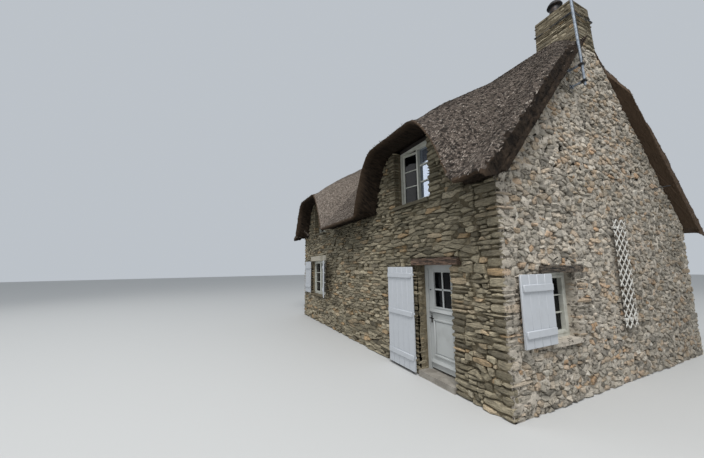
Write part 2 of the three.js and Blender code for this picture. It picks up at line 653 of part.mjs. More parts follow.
// Entrance door: a rebated frame with a lower leaf and a glazed upper leaf, both opening inwards
function door() {
  const half = DOOR.wide / 2;
  const [west, east] = [DOOR.at - half + SEAT, DOOR.at + half - SEAT];
  const [z0, z1] = [FLOOR_TOP + SEAT, DOOR.head - SEAT];
  const jambs = (wide) =>
    outline([
      [west, z0],
      [west + wide, z0],
      [west + wide, z1 - wide],
      [east - wide, z1 - wide],
      [east - wide, z0],
      [east, z0],
      [east, z1],
      [west, z1],
    ]);
  const face = FRONT + DOOR_SET_BACK;
  const inner = face + DOOR_FRAME.stopDeep;
  const back = face + DOOR_FRAME.deep;
  const jambEast = DOOR.at + half - DOOR_FRAME.wide;
  const jambWest = DOOR.at - half + DOOR_FRAME.wide;
  const pivot = [jambEast - LEAF_PIVOT.fromJamb, back + LEAF_PIVOT.behindFrame];
  const leafEast = jambEast - LEAF.gap;
  const leafWest = jambWest + LEAF.gap;
  const outside = inner + LEAF.behindStop;
  const inside = outside + LEAF.thick;
  const leafTop = DOOR.head - DOOR_FRAME.wide - LEAF.gap;
  const lower = [LEAF.bottom, LEAF.split - LEAF.splitGap / 2];
  const upper = [LEAF.split + LEAF.splitGap / 2, leafTop];
  const { knuckle, fromEnd, flap, radius } = LEAF_PIVOT;
  const hingeAt = [lower, upper].map(([a, b]) => [a + fromEnd, b - fromEnd - 2 * knuckle]);

  // Half a hinge: a round knuckle, and a flap that lies on the piece at y0
  const halfHinge = (z, side, y0) => {
    const [x, y] = pivot;
    const high = z + knuckle - SEAT;
    const [x0, x1] = side > 0 ? [x, x + flap] : [x - flap, x];
    return [upright(radius, x, y, z, high), box([x0, y0 - OVERLAP, z], [x1, y, high])];
  };
  const frame = [
    frontPlate(jambs(DOOR_FRAME.wide + DOOR_FRAME.stop), face, inner + OVERLAP),
    frontPlate(jambs(DOOR_FRAME.wide), inner, back),
    ...hingeAt.flat().flatMap((z) => halfHinge(z, 1, back)),
  ];
  add("door_frame", DOOR_PAINT, join(frame));

  const hung = ([a, b], places, ...holes) => {
    const panel = pierced(frontPlate, rectangle(leafWest, a, leafEast, b), holes, outside, inside);
    return join([panel, ...places.flatMap((z) => halfHinge(z + knuckle, -1, inside))]);
  };
  const [lightWest, lightEast] = [DOOR.at - LIGHT.wide / 2, DOOR.at + LIGHT.wide / 2];
  const light = rectangle(lightWest, LIGHT.bottom, lightEast, LIGHT.top);
  add("door_lower_leaf", DOOR_PAINT, hung(lower, hingeAt[0]));
  add("door_upper_leaf", DOOR_PAINT, hung(upper, hingeAt[1], light));
  const glassY = (outside + inside) / 2;
  const pane = box(
    [lightWest + SEAT, glassY - GLASS / 2, LIGHT.bottom + SEAT],
    [lightEast - SEAT, glassY + GLASS / 2, LIGHT.top - SEAT],
  );
  add("door_glass", PANE, pane);

  const { z, inset, plate, reach, lever, radius: round } = HANDLE;
  const handle = [
    new THREE.BoxGeometry(...plate),
    new THREE.CylinderGeometry(round, round, reach, 12).translate(0, -reach / 2, 0),
    new THREE.CylinderGeometry(round, round, lever, 12)
      .rotateZ(Math.PI / 2)
      .translate(lever / 2 - round, -reach, 0),
  ];
  const grip = add("door_handle", IRON, join(handle));
  grip.position.set(leafWest + inset, outside - SEAT - plate[1] / 2, z);
}

// A shutter leaf in its own frame: the pivot is its origin at ground height, the leaf runs along
// +X, and the ledges are on the side that hand points to along Y
function shutterLeaf({ wide, bottom, top, ledges, hand }) {
  const parts = [box([SHUTTER_EDGE, -BOARD / 2, bottom], [wide, BOARD / 2, top])];
  const { deep, high, inset } = LEDGE;
  for (const z of ledges) {
    const ledge = new THREE.BoxGeometry(wide - SHUTTER_EDGE - 2 * inset, deep + OVERLAP, high);
    const middle = (BOARD + deep - OVERLAP) / 2;
    parts.push(ledge.translate((SHUTTER_EDGE + wide) / 2, hand * middle, z));
    parts.push(upright(PINTLE.radius + 2, 0, 0, z, z + PINTLE.knuckle));
    parts.push(box([0, -4, z], [SHUTTER_EDGE + OVERLAP, 4, z + PINTLE.knuckle]));
  }
  return join(parts);
}

// Each shutter: its pivot, the way the leaf points at rest and the way the wall lies, in degrees
function shutterList() {
  const y = FRONT - SHUTTER_OUT;
  const edge = ({ at, wide }, side) => at + side * (wide / 2 + SHUTTER_PAST);
  const covering = ({ sill, head }, wide, fromEnd) => {
    const [bottom, top] = [sill + SHUTTER_GAP, head - SHUTTER_GAP];
    return { wide, bottom, top, ledges: [bottom + fromEnd, top - fromEnd] };
  };
  const windowLeaf = covering(FRONT_WINDOW, FRONT_WINDOW.wide / 2, 230);
  const gableLeaf = covering(GABLE_WINDOW, GABLE_WINDOW.wide + 2, 180);
  const doorLeaf = { wide: DOOR.wide, bottom: 50, top: 1920, ledges: [285, 1050, 1760] };
  return {
    door_shutter: {
      at: [edge(DOOR, -1), y],
      turn: 180,
      wallTurn: 0,
      leaf: { ...doorLeaf, hand: 1 },
    },
    gable_shutter: {
      at: [EAST + SHUTTER_OUT, edge(GABLE_WINDOW, -1)],
      turn: -90,
      wallTurn: 90,
      leaf: { ...gableLeaf, hand: 1 },
    },
    front_shutter_left: {
      at: [edge(FRONT_WINDOW, -1), y],
      turn: 180,
      wallTurn: 0,
      leaf: { ...windowLeaf, hand: 1 },
    },
    front_shutter_right: {
      at: [edge(FRONT_WINDOW, 1), y],
      turn: -FRONT_SHUTTER_AJAR,
      wallTurn: 0,
      leaf: { ...windowLeaf, hand: -1 },
    },
  };
}

// The wall's half of a shutter's hinges: a pin under each knuckle, on an arm built into the wall
function pintles(name) {
  const { at, wallTurn, leaf } = shutterList()[name];
  const place = (geometry) =>
    geometry.rotateZ(THREE.MathUtils.degToRad(wallTurn)).translate(at[0], at[1], 0);
  return leaf.ledges.flatMap((z) => {
    const [low, high] = [z - PINTLE.high, z - SEAT];
    const arm = box([-PINTLE.radius, 0, low], [PINTLE.radius, SHUTTER_OUT + 5, high]);
    return [place(upright(PINTLE.radius, 0, 0, low, high)), place(arm)];
  });
}

function shutters() {
  for (const [name, { at, turn, leaf }] of Object.entries(shutterList())) {
    const mesh = add(name, WHITE_PAINT, shutterLeaf(leaf));
    mesh.position.set(at[0], at[1], 0);
    mesh.rotation.z = THREE.MathUtils.degToRad(turn);
  }
}

// Aerial mast on two wall brackets beside the chimney: a wall plate and an arm each
function mast() {
  const { x, y, bottom, long, radius, brackets } = MAST;
  const pole = upright(radius, 0, 0, 0, long).rotateX(MAST_LEAN).translate(x, y, bottom);
  const held = brackets.flatMap((z) => {
    const at = y - Math.tan(MAST_LEAN) * (z - bottom);
    return [
      box([EAST + SEAT, at - 60, z - 30], [EAST + 8, at + 60, z + 30]),
      box([EAST + 6, at - 14, z - 14], [x, at + 14, z + 14]),
    ];
  });
  add("antenna_mast", ZINC, join([pole, ...held]));
}

// Diamond lattice of laths let into each other, held off the gable by two battens
function trellis() {
  const { y, wide, bottom, top, bar, thick, pitch, out } = TRELLIS;
  const high = top - bottom;
  const lath = (v, side) =>
    new THREE.BoxGeometry(thick, 2 * wide, bar).rotateX(side * TRELLIS_LEAN).translate(0, 0, v);
  const laths = [];
  for (let v = -high / 2 - wide; v < high / 2 + wide; v += pitch)
    laths.push(lath(v, 1), lath(v, -1));
  const panel = new THREE.BoxGeometry(4 * thick, wide, high);
  const lattice = solidOf(join(laths)).intersect(solidOf(panel));
  const battens = [-1, 1].map((side) => {
    const z = side * (high / 2 - 150);
    return solidOf(box([SEAT - out, -wide / 2, z - 20], [1 - thick / 2, wide / 2, z + 20]));
  });
  const whole = battens.reduce((sum, batten) => sum.add(batten), lattice);
  add("trellis", WHITE_PAINT, geometryOf(whole)).position.set(EAST + out, y, (top + bottom) / 2);
}

floors();
frontWall();
gableWalls();
backWall();
thatch();
ridgeCap();
chimney();
lintels();
dormers();
windows();
door();
shutters();
mast();
trellis();

export default cottage;
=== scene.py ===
import math
import random

import bmesh
import bpy
from mathutils import Matrix, Vector, kdtree, noise


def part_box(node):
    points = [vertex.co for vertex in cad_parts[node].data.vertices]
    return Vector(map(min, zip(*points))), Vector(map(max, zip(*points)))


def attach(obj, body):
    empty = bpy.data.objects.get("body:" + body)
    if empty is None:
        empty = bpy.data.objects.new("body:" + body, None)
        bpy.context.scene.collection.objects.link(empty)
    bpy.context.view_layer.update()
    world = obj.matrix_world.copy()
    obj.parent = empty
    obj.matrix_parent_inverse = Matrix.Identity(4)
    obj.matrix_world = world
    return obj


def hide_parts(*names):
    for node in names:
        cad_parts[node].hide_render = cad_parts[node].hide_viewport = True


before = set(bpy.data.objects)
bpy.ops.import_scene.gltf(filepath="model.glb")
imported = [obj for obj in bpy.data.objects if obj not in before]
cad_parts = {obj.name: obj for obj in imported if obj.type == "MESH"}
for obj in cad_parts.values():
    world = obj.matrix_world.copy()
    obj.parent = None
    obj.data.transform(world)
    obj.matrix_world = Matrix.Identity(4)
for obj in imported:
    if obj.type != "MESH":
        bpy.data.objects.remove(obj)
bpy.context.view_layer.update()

# Mortar. The solid of each wall shows as its lime mortar: outside sandy, uneven and raked back
# between the stones, and limewashed on the faces that look into the rooms. The bare mortar
# between the stones of the chimney stack is the stack's own solid.


class Value:
    """The output of a shader node, on which Python's operators work."""

    def __init__(self, tree, output):
        self.tree = tree
        self.output = output

    def node(self, kind, settings, values, output=0):
        """Adds a node with its settings and the values or links of its sockets."""
        made = self.tree.nodes.new(kind)
        for name, setting in settings.items():
            if name == "stops":
                stops = made.color_ramp.elements
                while len(stops) < len(setting):
                    stops.new(1.0)
                for stop, (place, colour) in zip(stops, setting):
                    stop.position = place
                    stop.color = (*colour[:3], 1.0)
            else:
                setattr(made, name, setting)
        for key, value in values.items():
            if isinstance(value, Value):
                self.tree.links.new(value.output, made.inputs[key])
            else:
                made.inputs[key].default_value = value
        return Value(self.tree, made.outputs[output])

    def math(self, operation, *values):
        """Adds a sum, product or comparison."""
        return self.node("ShaderNodeMath", {"operation": operation}, dict(enumerate(values)))

    def __add__(self, other):
        return self.math("ADD", self, other)

    def __sub__(self, other):
        return self.math("SUBTRACT", self, other)

    def __rsub__(self, other):
        return self.math("SUBTRACT", other, self)

    def __mul__(self, other):
        return self.math("MULTIPLY", self, other)

    def __lt__(self, other):
        return self.math("LESS_THAN", self, other)

    def __gt__(self, other):
        return self.math("GREATER_THAN", self, other)

    def __abs__(self):
        return self.math("ABSOLUTE", self)

    __radd__ = __add__
    __rmul__ = __mul__


def paint(red, green, blue):
    """A colour as it looks, from 0 to 255, as the light that it sends back."""
    light = [(c / 255 / 12.92) if c < 11 else ((c / 255 + 0.055) / 1.055) ** 2.4
             for c in (red, green, blue)]
    return (*light, 1.0)


def ramp(value, low, high):
    """0 below low and 1 above high, straight between them."""
    return value.node("ShaderNodeMapRange", {},
                      {"Value": value, "From Min": low, "From Max": high})


def mix(share, first, second):
    """A colour between two others."""
    parts = {0: share, 6: first, 7: second}
    return share.node("ShaderNodeMix", {"data_type": "RGBA"}, parts, output=2)


def grain(here, scale, detail=3.0, roughness=0.6, stretch=(1, 1, 1)):
    """Noise from 0 to 1 at this many lumps to the metre, finer along a stretched axis."""
    turned = here.node("ShaderNodeMapping", {}, {"Vector": here, "Scale": stretch})
    values = {"Vector": turned, "Scale": scale, "Detail": detail, "Roughness": roughness}
    return here.node("ShaderNodeTexNoise", {}, values)


def pit_shade(here):
    """1 in small spots of painted shade that stand for the hollows of weathered lime mortar,
    between the stones and over them.
    """
    return ramp(grain(here, 14, 4, 0.65), 0.53, 0.6)


class Finish:
    """A material, with the part's coordinates and its shader's sockets at hand."""

    def __init__(self, name, roughness=0.9, metallic=0.0):
        self.material = bpy.data.materials.new(name)
        self.material.use_nodes = True
        tree = self.material.node_tree
        self.shader = tree.nodes["Principled BSDF"]
        self.here = Value(tree, None).node("ShaderNodeTexCoord", {}, {}, output="Object")
        self.set("Roughness", roughness)
        self.set("Metallic", metallic)

    def set(self, socket, value):
        """Gives a socket of the shader a link or a constant."""
        if isinstance(value, Value):
            value.tree.links.new(value.output, self.shader.inputs[socket])
        else:
            self.shader.inputs[socket].default_value = value

    def bump(self, height, distance, strength=1.0):
        """Roughens the surface by a height from 0 to 1, which stands for this distance."""
        values = {"Height": height, "Distance": distance, "Strength": strength}
        self.set("Normal", height.node("ShaderNodeBump", {}, values))

    def axes(self):
        """Place along the house, across it and up."""
        split = {"Vector": self.here}
        return [self.here.node("ShaderNodeSeparateXYZ", {}, split, output=i) for i in range(3)]

    def tone(self):
        """Each small shape's own number, from 0 to 1."""
        return self.here.node("ShaderNodeAttribute", {"attribute_name": "tone"}, {}, output=2)


def dress(finish, *nodes):
    """Gives CAD nodes a finish."""
    for node in nodes:
        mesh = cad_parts[node].data
        mesh.materials.clear()
        mesh.materials.append(finish.material)


ROOM = (4.06, 2.45)  # half the length and half the depth that the walls leave inside
STACK_FROM = 6.02  # the gable ends here and the chimney stack starts
GABLE_SKIN, GABLE_CORE = 4.6, 4.3  # a gable lies past the first, and the second off its corners
CORNER_FROM = 2.9  # a corner starts this far from the middle of a gable
HOLE_BACK = 4.62  # the scaffold holes' faces lie between the core and here
TRELLIS_AT = (0.085, 1.78)  # middle of the trellis, across the gable and up


def trellis_shade(along, across, up):
    """How much painted shade darkens the east gable behind the trellis."""
    beside = ramp(abs(across - TRELLIS_AT[0]), 0.32, 0.2)
    return beside * ramp(abs(up - TRELLIS_AT[1]), 1.04, 0.9) * (along > GABLE_CORE)


mortar = Finish("lime_mortar", roughness=0.95)
mortar.set("Specular IOR Level", 0.2)
along, across, up = mortar.axes()
inside = (abs(along) < ROOM[0]) * (abs(across) < ROOM[1]) * (up < STACK_FROM)
sand = grain(mortar.here, 140, 4)
cloud = grain(mortar.here, 2.2, 5)
outside = mix(ramp(cloud, 0.35, 0.65), paint(96, 87, 70), paint(138, 127, 105))
pale = mix(ramp(cloud, 0.35, 0.65), paint(168, 159, 146), paint(194, 185, 171))
# Painted shade of small hollows darkens the mortar in spots, most on the gables.
pale = mix(pit_shade(mortar.here) * 0.85, pale, paint(50, 44, 37))
outside = mix(pit_shade(mortar.here) * 0.5, outside, paint(56, 50, 40))
between_corners = (abs(along) > GABLE_CORE) * (abs(across) < CORNER_FROM)
on_gable = (abs(along) > GABLE_SKIN) + between_corners
outside = mix(on_gable * (up < STACK_FROM), outside, pale)
# Painted shade inside the scaffold holes.
hole_shade = between_corners * (abs(along) < HOLE_BACK) * (up > 3.3) * (up < 6)
outside = mix(hole_shade, outside, paint(34, 30, 25))
# Painted shade on the mortar behind the trellis.
outside = mix(trellis_shade(along, across, up) * 0.7, outside, paint(60, 54, 46))
outside = mix((up > STACK_FROM) * 0.45, outside, paint(48, 43, 35))
outside = mix(ramp(sand, 0.5, 0.9) * 0.5, outside, paint(92, 82, 68))
# Painted shade on the mortar under the front eaves.
eave_shade = ramp(up, 2.0, 3.0) * (across < -CORNER_FROM) * (along < 4.64)
outside = mix(eave_shade * 0.6, outside, paint(66, 60, 46))
limewash = mix(ramp(cloud, 0.3, 0.7), paint(206, 200, 186), paint(222, 217, 206))
mortar.set("Base Color", mix(inside, outside, limewash))
mortar.bump(grain(mortar.here, 45, 5) + sand * 0.4, 0.02, 0.7)
dress(mortar, "chimney_stack")

WALLS = ("front_wall_east", "front_wall_middle", "front_wall_over_door",
         "front_wall_over_window", "front_wall_under_window", "front_wall_west",
         "gable_wall_east", "gable_wall_west", "back_wall")
OUTER = (4.65, 3.025)  # half the length and half the depth of the house
RAKED = (0.012, 0.03)  # depth of the joints behind the gables, and behind the long walls
NET = 0.05  # the mortar's faces are drawn in squares of this size
HOLLOW = 0.055  # and sink by up to this much more
SMEAR = 0.18  # or rise by this share of it, where mortar is smeared over the joints
ON_FACE = 0.001  # a point this close to a face lies on it


def show(name, mesh, finish, body="house", replaces=()):
    """Puts a finished mesh in the scene as a piece that moves with a body."""
    piece = bpy.data.objects.new(name, mesh)
    bpy.context.scene.collection.objects.link(piece)
    mesh.materials.append(finish.material)
    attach(piece, body)
    if replaces:
        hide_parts(*replaces)
    return piece


def copy_of(node):
    """A merged copy of a CAD node's mesh."""
    shape = bmesh.new()
    shape.from_mesh(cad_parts[node].data)
    bmesh.ops.remove_doubles(shape, verts=shape.verts, dist=1e-5)
    return shape


def draw_in_squares(shape, axis, outer):
    """Cuts the flat faces that lie this far out along an axis into a net of squares."""
    skin = [face for face in shape.faces
            if all(abs(abs(vert.co[axis]) - outer) < ON_FACE for vert in face.verts)]
    edges = {edge for face in skin for edge in face.edges}
    verts = {vert for face in skin for vert in face.verts}
    if not skin:
        return
    geom = [*skin, *edges, *verts]
    for other in {0, 1, 2} - {axis}:
        low = min(vert.co[other] for vert in verts)
        high = max(vert.co[other] for vert in verts)
        across_cut = Vector([other == i for i in range(3)])
        for i in range(1, int((high - low) / NET)):
            made = bmesh.ops.bisect_plane(shape, geom=geom, plane_no=across_cut,
                                          plane_co=across_cut * (low + i * NET))
            geom = made["geom"]


for node in WALLS:
    wall = copy_of(node)
    for axis, outer in enumerate(OUTER):
        draw_in_squares(wall, axis, outer)
    for vert in wall.verts:
        sunk = HOLLOW * max(-SMEAR, noise.noise(vert.co * 9) + 0.1)
        for axis, outer in enumerate(OUTER):
            if abs(abs(vert.co[axis]) - outer) < ON_FACE:
                vert.co[axis] -= math.copysign(RAKED[axis] + sunk, vert.co[axis])
    mesh = bpy.data.meshes.new(f"{node}_mortar")
    wall.to_mesh(mesh)
    wall.free()
    show(f"{node}_mortar", mesh, mortar, replaces=(node,))


# Rubble. Split schist, thin in bed, from hand-sized pieces to long slabs, bedded in the mortar.
# Each stone is a cell of a pattern that fills the wall, drawn in by half a joint, given its
# thickness and worn.
JOINT = 0.01
BEDDED = 0.055  # depth of a stone's back behind the face of the wall
EAST, FRONT = OUTER[0], -OUTER[1]  # outer faces of the chimney gable and the front wall
EAVE = 3.15  # top of the front wall beside the dormers
BROW = {"at": 2.75, "rise": 1.22, "flat": 0.615, "foot": 1.335}  # underside of the thatch
BROW_ROUND = 0.45  # power that rounds its crown
WORN = math.radians(38)  # edges sharper than this stay sharp
LONG_EDGE = 0.09  # a longer side of a stone gets a knock in its middle
NEIGHBOURS = 16  # as many stones round one may touch it
SMALLEST = {"area": 0.001, "wide": 0.02}  # smaller pieces beside a hole are left to the mortar


class Pile:
    """Many small closed shapes that become one mesh, each with a tone of its own."""

    def __init__(self):
        self.points, self.faces, self.tones = [], [], []

    def add(self, shape, place=Matrix(), tone=0.5):
        """Adds one shape at its place, and frees it."""
        shape.verts.index_update()
        faces = [[vert.index for vert in face.verts] for face in shape.faces]
        self.repeat([vert.co for vert in shape.verts], faces, place, tone)
        shape.free()

    def repeat(self, points, faces, place, tone):
        """Adds a shape that is given by its points and faces."""
        start = len(self.points)
        self.points += [place @ point for point in points]
        self.faces += [[start + i for i in face] for face in faces]
        self.tones += [tone] * len(points)

    def piece(self, name, finish, body="house", slot=None, replaces=()):
        """Makes the mesh and puts it in the scene."""
        mesh = bpy.data.meshes.new(name)
        mesh.from_pydata(self.points, [], self.faces)
        tones = mesh.attributes.new("tone", "FLOAT", "POINT")
        tones.data.foreach_set("value", self.tones)
        mesh.shade_smooth()
        mesh.set_sharp_from_angle(angle=WORN)
        return show(name, mesh, finish, body, replaces)


def trim(cell, point, outward):
    """Keeps the part of a flat cell on the near side of a line."""
    everything = cell.verts[:] + cell.edges[:] + cell.faces[:]
    bmesh.ops.bisect_plane(cell, geom=everything, plane_co=point, plane_no=outward,
                           clear_outer=True)
    return cell


def reach(cell):
    """Lowest and highest u and v of a flat cell."""
    us = [vert.co.x for vert in cell.verts]
    vs = [vert.co.y for vert in cell.verts]
    return min(us), min(vs), max(us), max(vs)


def outside_of(cells, hole):
    """The parts of the cells that lie beside, over and under a rectangular hole."""
    u0, v0, u1, v1 = hole
    kept = []
    for cell in cells:
        a0, b0, a1, b1 = reach(cell)
        if a1 <= u0 or a0 >= u1 or b1 <= v0 or b0 >= v1:
            kept.append(cell)
            continue
        for edge, outward in (((u0, 0, 0), (1, 0, 0)), ((u1, 0, 0), (-1, 0, 0)),
                              ((0, v0, 0), (0, 1, 0)), ((0, v1, 0), (0, -1, 0))):
            part = trim(cell.copy(), edge, outward)
            if part.faces:
                kept.append(part)
            else:
                part.free()
            trim(cell, edge, -Vector(outward))
            if not cell.faces:
                break
        cell.free()
    return kept


def knap(cell, proud, luck, blunt, tilt, worn=0.011):
    """Turns a flat cell into a split stone: blunt corners, rough outline, worn edges.

    Its back is bedded in the wall. Its face stands proud, leans, and rises to a low crown.
    """
    u0, v0, u1, v1 = reach(cell)
    span = min(u1 - u0, v1 - v0)
    bmesh.ops.bevel(cell, geom=cell.verts[:], offset=span * luck.uniform(*blunt),
                    offset_type="OFFSET", segments=1, profile=0.5, affect="VERTICES",
                    clamp_overlap=True, material=-1)
    bmesh.ops.remove_doubles(cell, verts=cell.verts, dist=0.16 * span)
    long_edges = [edge for edge in cell.edges if edge.calc_length() > LONG_EDGE]
    bmesh.ops.subdivide_edges(cell, edges=long_edges, cuts=1)
    if not cell.faces:
        return cell
    rough = min(0.008, 0.09 * span)
    for vert in cell.verts:
        vert.co += Vector((luck.uniform(-rough, rough), luck.uniform(-rough, rough), -BEDDED))
    made = bmesh.ops.extrude_face_region(cell, geom=cell.faces[:], use_keep_orig=True)
    front = [item for item in made["geom"] if isinstance(item, bmesh.types.BMFace)]
    lean = (luck.uniform(-0.09, 0.09), luck.uniform(*tilt))
    middle = Vector(((u0 + u1) / 2, (v0 + v1) / 2, 0))
    for vert in front[0].verts:
        off = vert.co - middle
        vert.co.z = proud - 0.006 + lean[0] * off.x + lean[1] * off.y
    worn = min(worn, 0.2 * span)
    bmesh.ops.inset_region(cell, faces=front, thickness=worn, depth=0.6 * worn,
                           use_even_offset=False)
    crown = bmesh.ops.poke(cell, faces=front)["verts"][0]
    crown.co += Vector((luck.uniform(-0.2, 0.2) * (u1 - u0), luck.uniform(-0.2, 0.2) * (v1 - v0),
                        luck.uniform(-0.004, 0.005)))
    bmesh.ops.recalc_face_normals(cell, faces=cell.faces[:])
    return cell


def scattered(area, length, height, loose, luck):
    """Middles of stones laid in rough courses over an area, some left out for larger ones."""
    u0, v0, u1, v1 = area
    middles = []
    v = v0
    while v < v1 + height:
        course = height * luck.uniform(0.65, 1.4)
        u = u0 - luck.random() * length
        while u < u1 + length:
            width = length * (0.45 + 1.5 * luck.random() ** 1.8)
            lift = course * luck.uniform(-loose, loose)
            if luck.random() > 0.1:
                middles.append(Vector((u + width / 2, v + course / 2 + lift, 0)))
            u += width
        v += course
    return middles


# Size is a stone's usual length and height. Loose is how far it strays from its course, slim
# how much its ends slant, ends how tight the joints between ends are beside the beds, and tilt
# how far its face leans back with height.
SLABS = {"size": (0.27, 0.062), "loose": 0.2, "slim": 0.85, "joint": 0.009, "ends": 0.5,
         "proud": (-0.006, 0.024), "blunt": (0.03, 0.14), "tilt": (-0.4, 0.1)}
RANDOM = {"size": (0.155, 0.066), "loose": 0.5, "slim": 0.8, "joint": 0.009, "ends": 0.8,
          "proud": (-0.01, 0.012), "blunt": (0.03, 0.16), "tilt": (-0.34, 0.14)}
BACK_SLABS = {**SLABS, "size": (0.3, 0.085), "proud": (-0.006, 0.012)}
WEST_RANDOM = {**RANDOM, "size": (0.25, 0.095)}


def flatness(laid):
    """How much longer than high the stones of a kind of walling are."""
    length, height = laid["size"]
    return length / height * laid["slim"]


def by_nearness(middles, flat):
    """A search tree of the middles, in which lengths along the courses count less."""
    tree = kdtree.KDTree(len(middles))
    for i, middle in enumerate(middles):
        tree.insert((middle.x / flat, middle.y, 0), i)
    tree.balance()
    return tree


def cell_round(middle, middles, tree, laid):
    """The flat cell of one stone, which ends half a joint before each of its neighbours."""
    flat = flatness(laid)
    cell = bmesh.new()
    bmesh.ops.create_grid(cell, x_segments=1, y_segments=1, size=1.2 * laid["size"][0])
    bmesh.ops.translate(cell, verts=cell.verts, vec=middle)
    for _, j, far in tree.find_n((middle.x / flat, middle.y, 0), NEIGHBOURS):
        spread = max(math.hypot((vert.co.x - middle.x) / flat, vert.co.y - middle.y)
                     for vert in cell.verts)
        if far / 2 > spread:
            break
        if middles[j] is middle:
            continue
        way = middles[j] - middle
        outward = Vector((way.x / flat**2, way.y, 0)).normalized()
        tight = laid["ends"] + (1 - laid["ends"]) * abs(outward.y)
        trim(cell, (middle + middles[j]) / 2 - outward * tight * laid["joint"] / 2, outward)
        if not cell.faces:
            break
    return cell


def trim_to(cell, middle, sides, top):
    """Keeps the part of a cell that lies within the sides and under the curve of the top."""
    for edge, outward in sides:
        if cell.faces:
            trim(cell, edge, outward)
    if cell.faces and top:
        slope = (top(middle.x + 0.03) - top(middle.x - 0.03)) / 0.06
        trim(cell, (middle.x, top(middle.x), 0), (-slope, 1, 0))
    return cell


def bed_stone(pile, place, cell, laid, luck):
    """Makes a stone of a cell and adds it, unless the cell is too small for one."""
    u0, v0, u1, v1 = reach(cell)
    narrow = min(u1 - u0, v1 - v0)
    if cell.faces[:][0].calc_area() > SMALLEST["area"] and narrow > SMALLEST["wide"]:
        knap(cell, luck.uniform(*laid["proud"]), luck, laid["blunt"], laid["tilt"])
    else:
        cell.clear()
    pile.add(cell, place, luck.random())


def lay_rubble(pile, place, area, holes, seed, laid, cuts=(), top=None):
    """Fills an area of a wall face with stones, round its holes and inside its slanting cuts."""
    luck = random.Random(seed)
    u0, v0, u1, v1 = area
    sides = (((u0, 0, 0), (-1, 0, 0)), ((u1, 0, 0), (1, 0, 0)), ((0, v0, 0), (0, -1, 0)),
             ((0, v1, 0), (0, 1, 0)), *cuts)
    middles = scattered(area, *laid["size"], laid["loose"], luck)
    tree = by_nearness(middles, flatness(laid))
    for middle in middles:
        cell = trim_to(cell_round(middle, middles, tree, laid), middle, sides, top)
        if not cell.faces:
            cell.free()
            continue
        cells = [cell]
        for hole in holes:
            cells = outside_of(cells, hole)
        for part in cells:
            bed_stone(pile, place, part, laid, luck)


# Corners and jambs. Squared blocks of the same schist, long and short in turn up each corner and
# up both sides of each opening, where their ends show in the reveal.
def hew(low, high, luck, worn=0.009):
    """A squared block with uneven faces and worn edges, between two corners."""
    shape = bmesh.new()
    low, high = Vector(low), Vector(high)
    bmesh.ops.create_cube(shape, size=1)
    bmesh.ops.subdivide_edges(shape, edges=shape.edges[:], cuts=1, use_grid_fill=True)
    for vert in shape.verts:
        sides = sum(abs(c) > 0.49 for c in vert.co)
        pull = worn * (sides - 1)
        grown = [low[i] + (vert.co[i] + 0.5) * (high[i] - low[i]) for i in range(3)]
        inwards = [-math.copysign(pull, vert.co[i]) if abs(vert.co[i]) > 0.49 else 0
                   for i in range(3)]
        shake = [luck.uniform(-worn, worn) * 0.6 for _ in range(3)]
        vert.co = [g + a + b for g, a, b in zip(grown, inwards, shake)]
    return shape


def courses(low, high, thin, thick, luck):
    """Heights of the beds of a stack of blocks."""
    beds = [low]
    while beds[-1] < high - thin:
        beds.append(min(high, beds[-1] + luck.uniform(thin, thick)))
    return [(a + JOINT / 2, b - JOINT / 2) for a, b in zip(beds, beds[1:]) if b - a > 0.03]


def arch(x, shape):
    """Rise of one of the thatch's lower edges over a dormer at x."""
    t = (shape["foot"] - abs(abs(x) - shape["at"])) / (shape["foot"] - shape["flat"])
    t = min(1, max(0, t))
    return shape["rise"] * (t * t * (3 - 2 * t)) ** BROW_ROUND


def brow(x):
    """Top of the front wall at x: it follows the underside of the thatch over the dormers."""
    return EAVE - 0.01 + arch(x, BROW)


FACES = {  # where each wall face's own u, v and outward w lie in the part's frame
    "front": Matrix(((1, 0, 0, 0), (0, 0, -1, FRONT), (0, 1, 0, 0), (0, 0, 0, 1))),
    "east": Matrix(((0, 0, 1, EAST), (1, 0, 0, 0), (0, 1, 0, 0), (0, 0, 0, 1))),
    "back": Matrix(((-1, 0, 0, 0), (0, 0, 1, -FRONT), (0, 1, 0, 0), (0, 0, 0, 1))),
    "west": Matrix(((0, 0, -1, -EAST), (-1, 0, 0, 0), (0, 1, 0, 0), (0, 0, 0, 1))),
}
piles = {face: Pile() for face in FACES}
holes = {face: [] for face in FACES}


def corner(face, side, next_face, high, seed):
    """Long and short blocks up one corner of the house, shared by two faces."""
    luck = random.Random(seed)
    half = EAST if face in ("front", "back") else -FRONT
    other = -FRONT if face in ("front", "back") else EAST
    for i, (v0, v1) in enumerate(courses(0, high, 0.05, 0.15, luck)):
        here, there = luck.uniform(0.12, 0.26), luck.uniform(0.22, 0.46)
        if i % 2:
            here, there = there, here
        proud = luck.uniform(-0.006, 0.012)
        u0, u1 = sorted((side * (half - here), side * (half + proud)))
        piles[face].add(hew((u0, v0, -there), (u1, v1, proud), luck), FACES[face], luck.random())
        gap = JOINT / 2
        holes[face].append((u0 - gap, v0 - gap, u1 + gap, v1 + gap))
        a0, a1 = sorted((-side * (other - there), -side * (other + proud)))
        holes[next_face].append((a0 - gap, v0 - gap, a1 + gap, v1 + gap))


def jamb(face, edge, side, low, high, deep, seed):
    """Blocks up one side of an opening, whose ends show in the reveal."""
    luck = random.Random(seed)
    for v0, v1 in courses(low, high, 0.04, 0.12, luck):
        long = luck.uniform(0.14, 0.42)
        while face == "front" and long > 0.06 and brow(edge - side * long) < v1:
            long -= 0.02
        lap = luck.uniform(0.004, 0.012)
        proud = luck.uniform(-0.004, 0.014)
        u0, u1 = sorted((edge - side * lap, edge + side * long))
        piles[face].add(hew((u0, v0, -deep), (u1, v1, proud), luck), FACES[face], luck.random())
        gap = JOINT / 2
        holes[face].append((u0 - gap, v0 - gap, u1 + gap, v1 + gap))


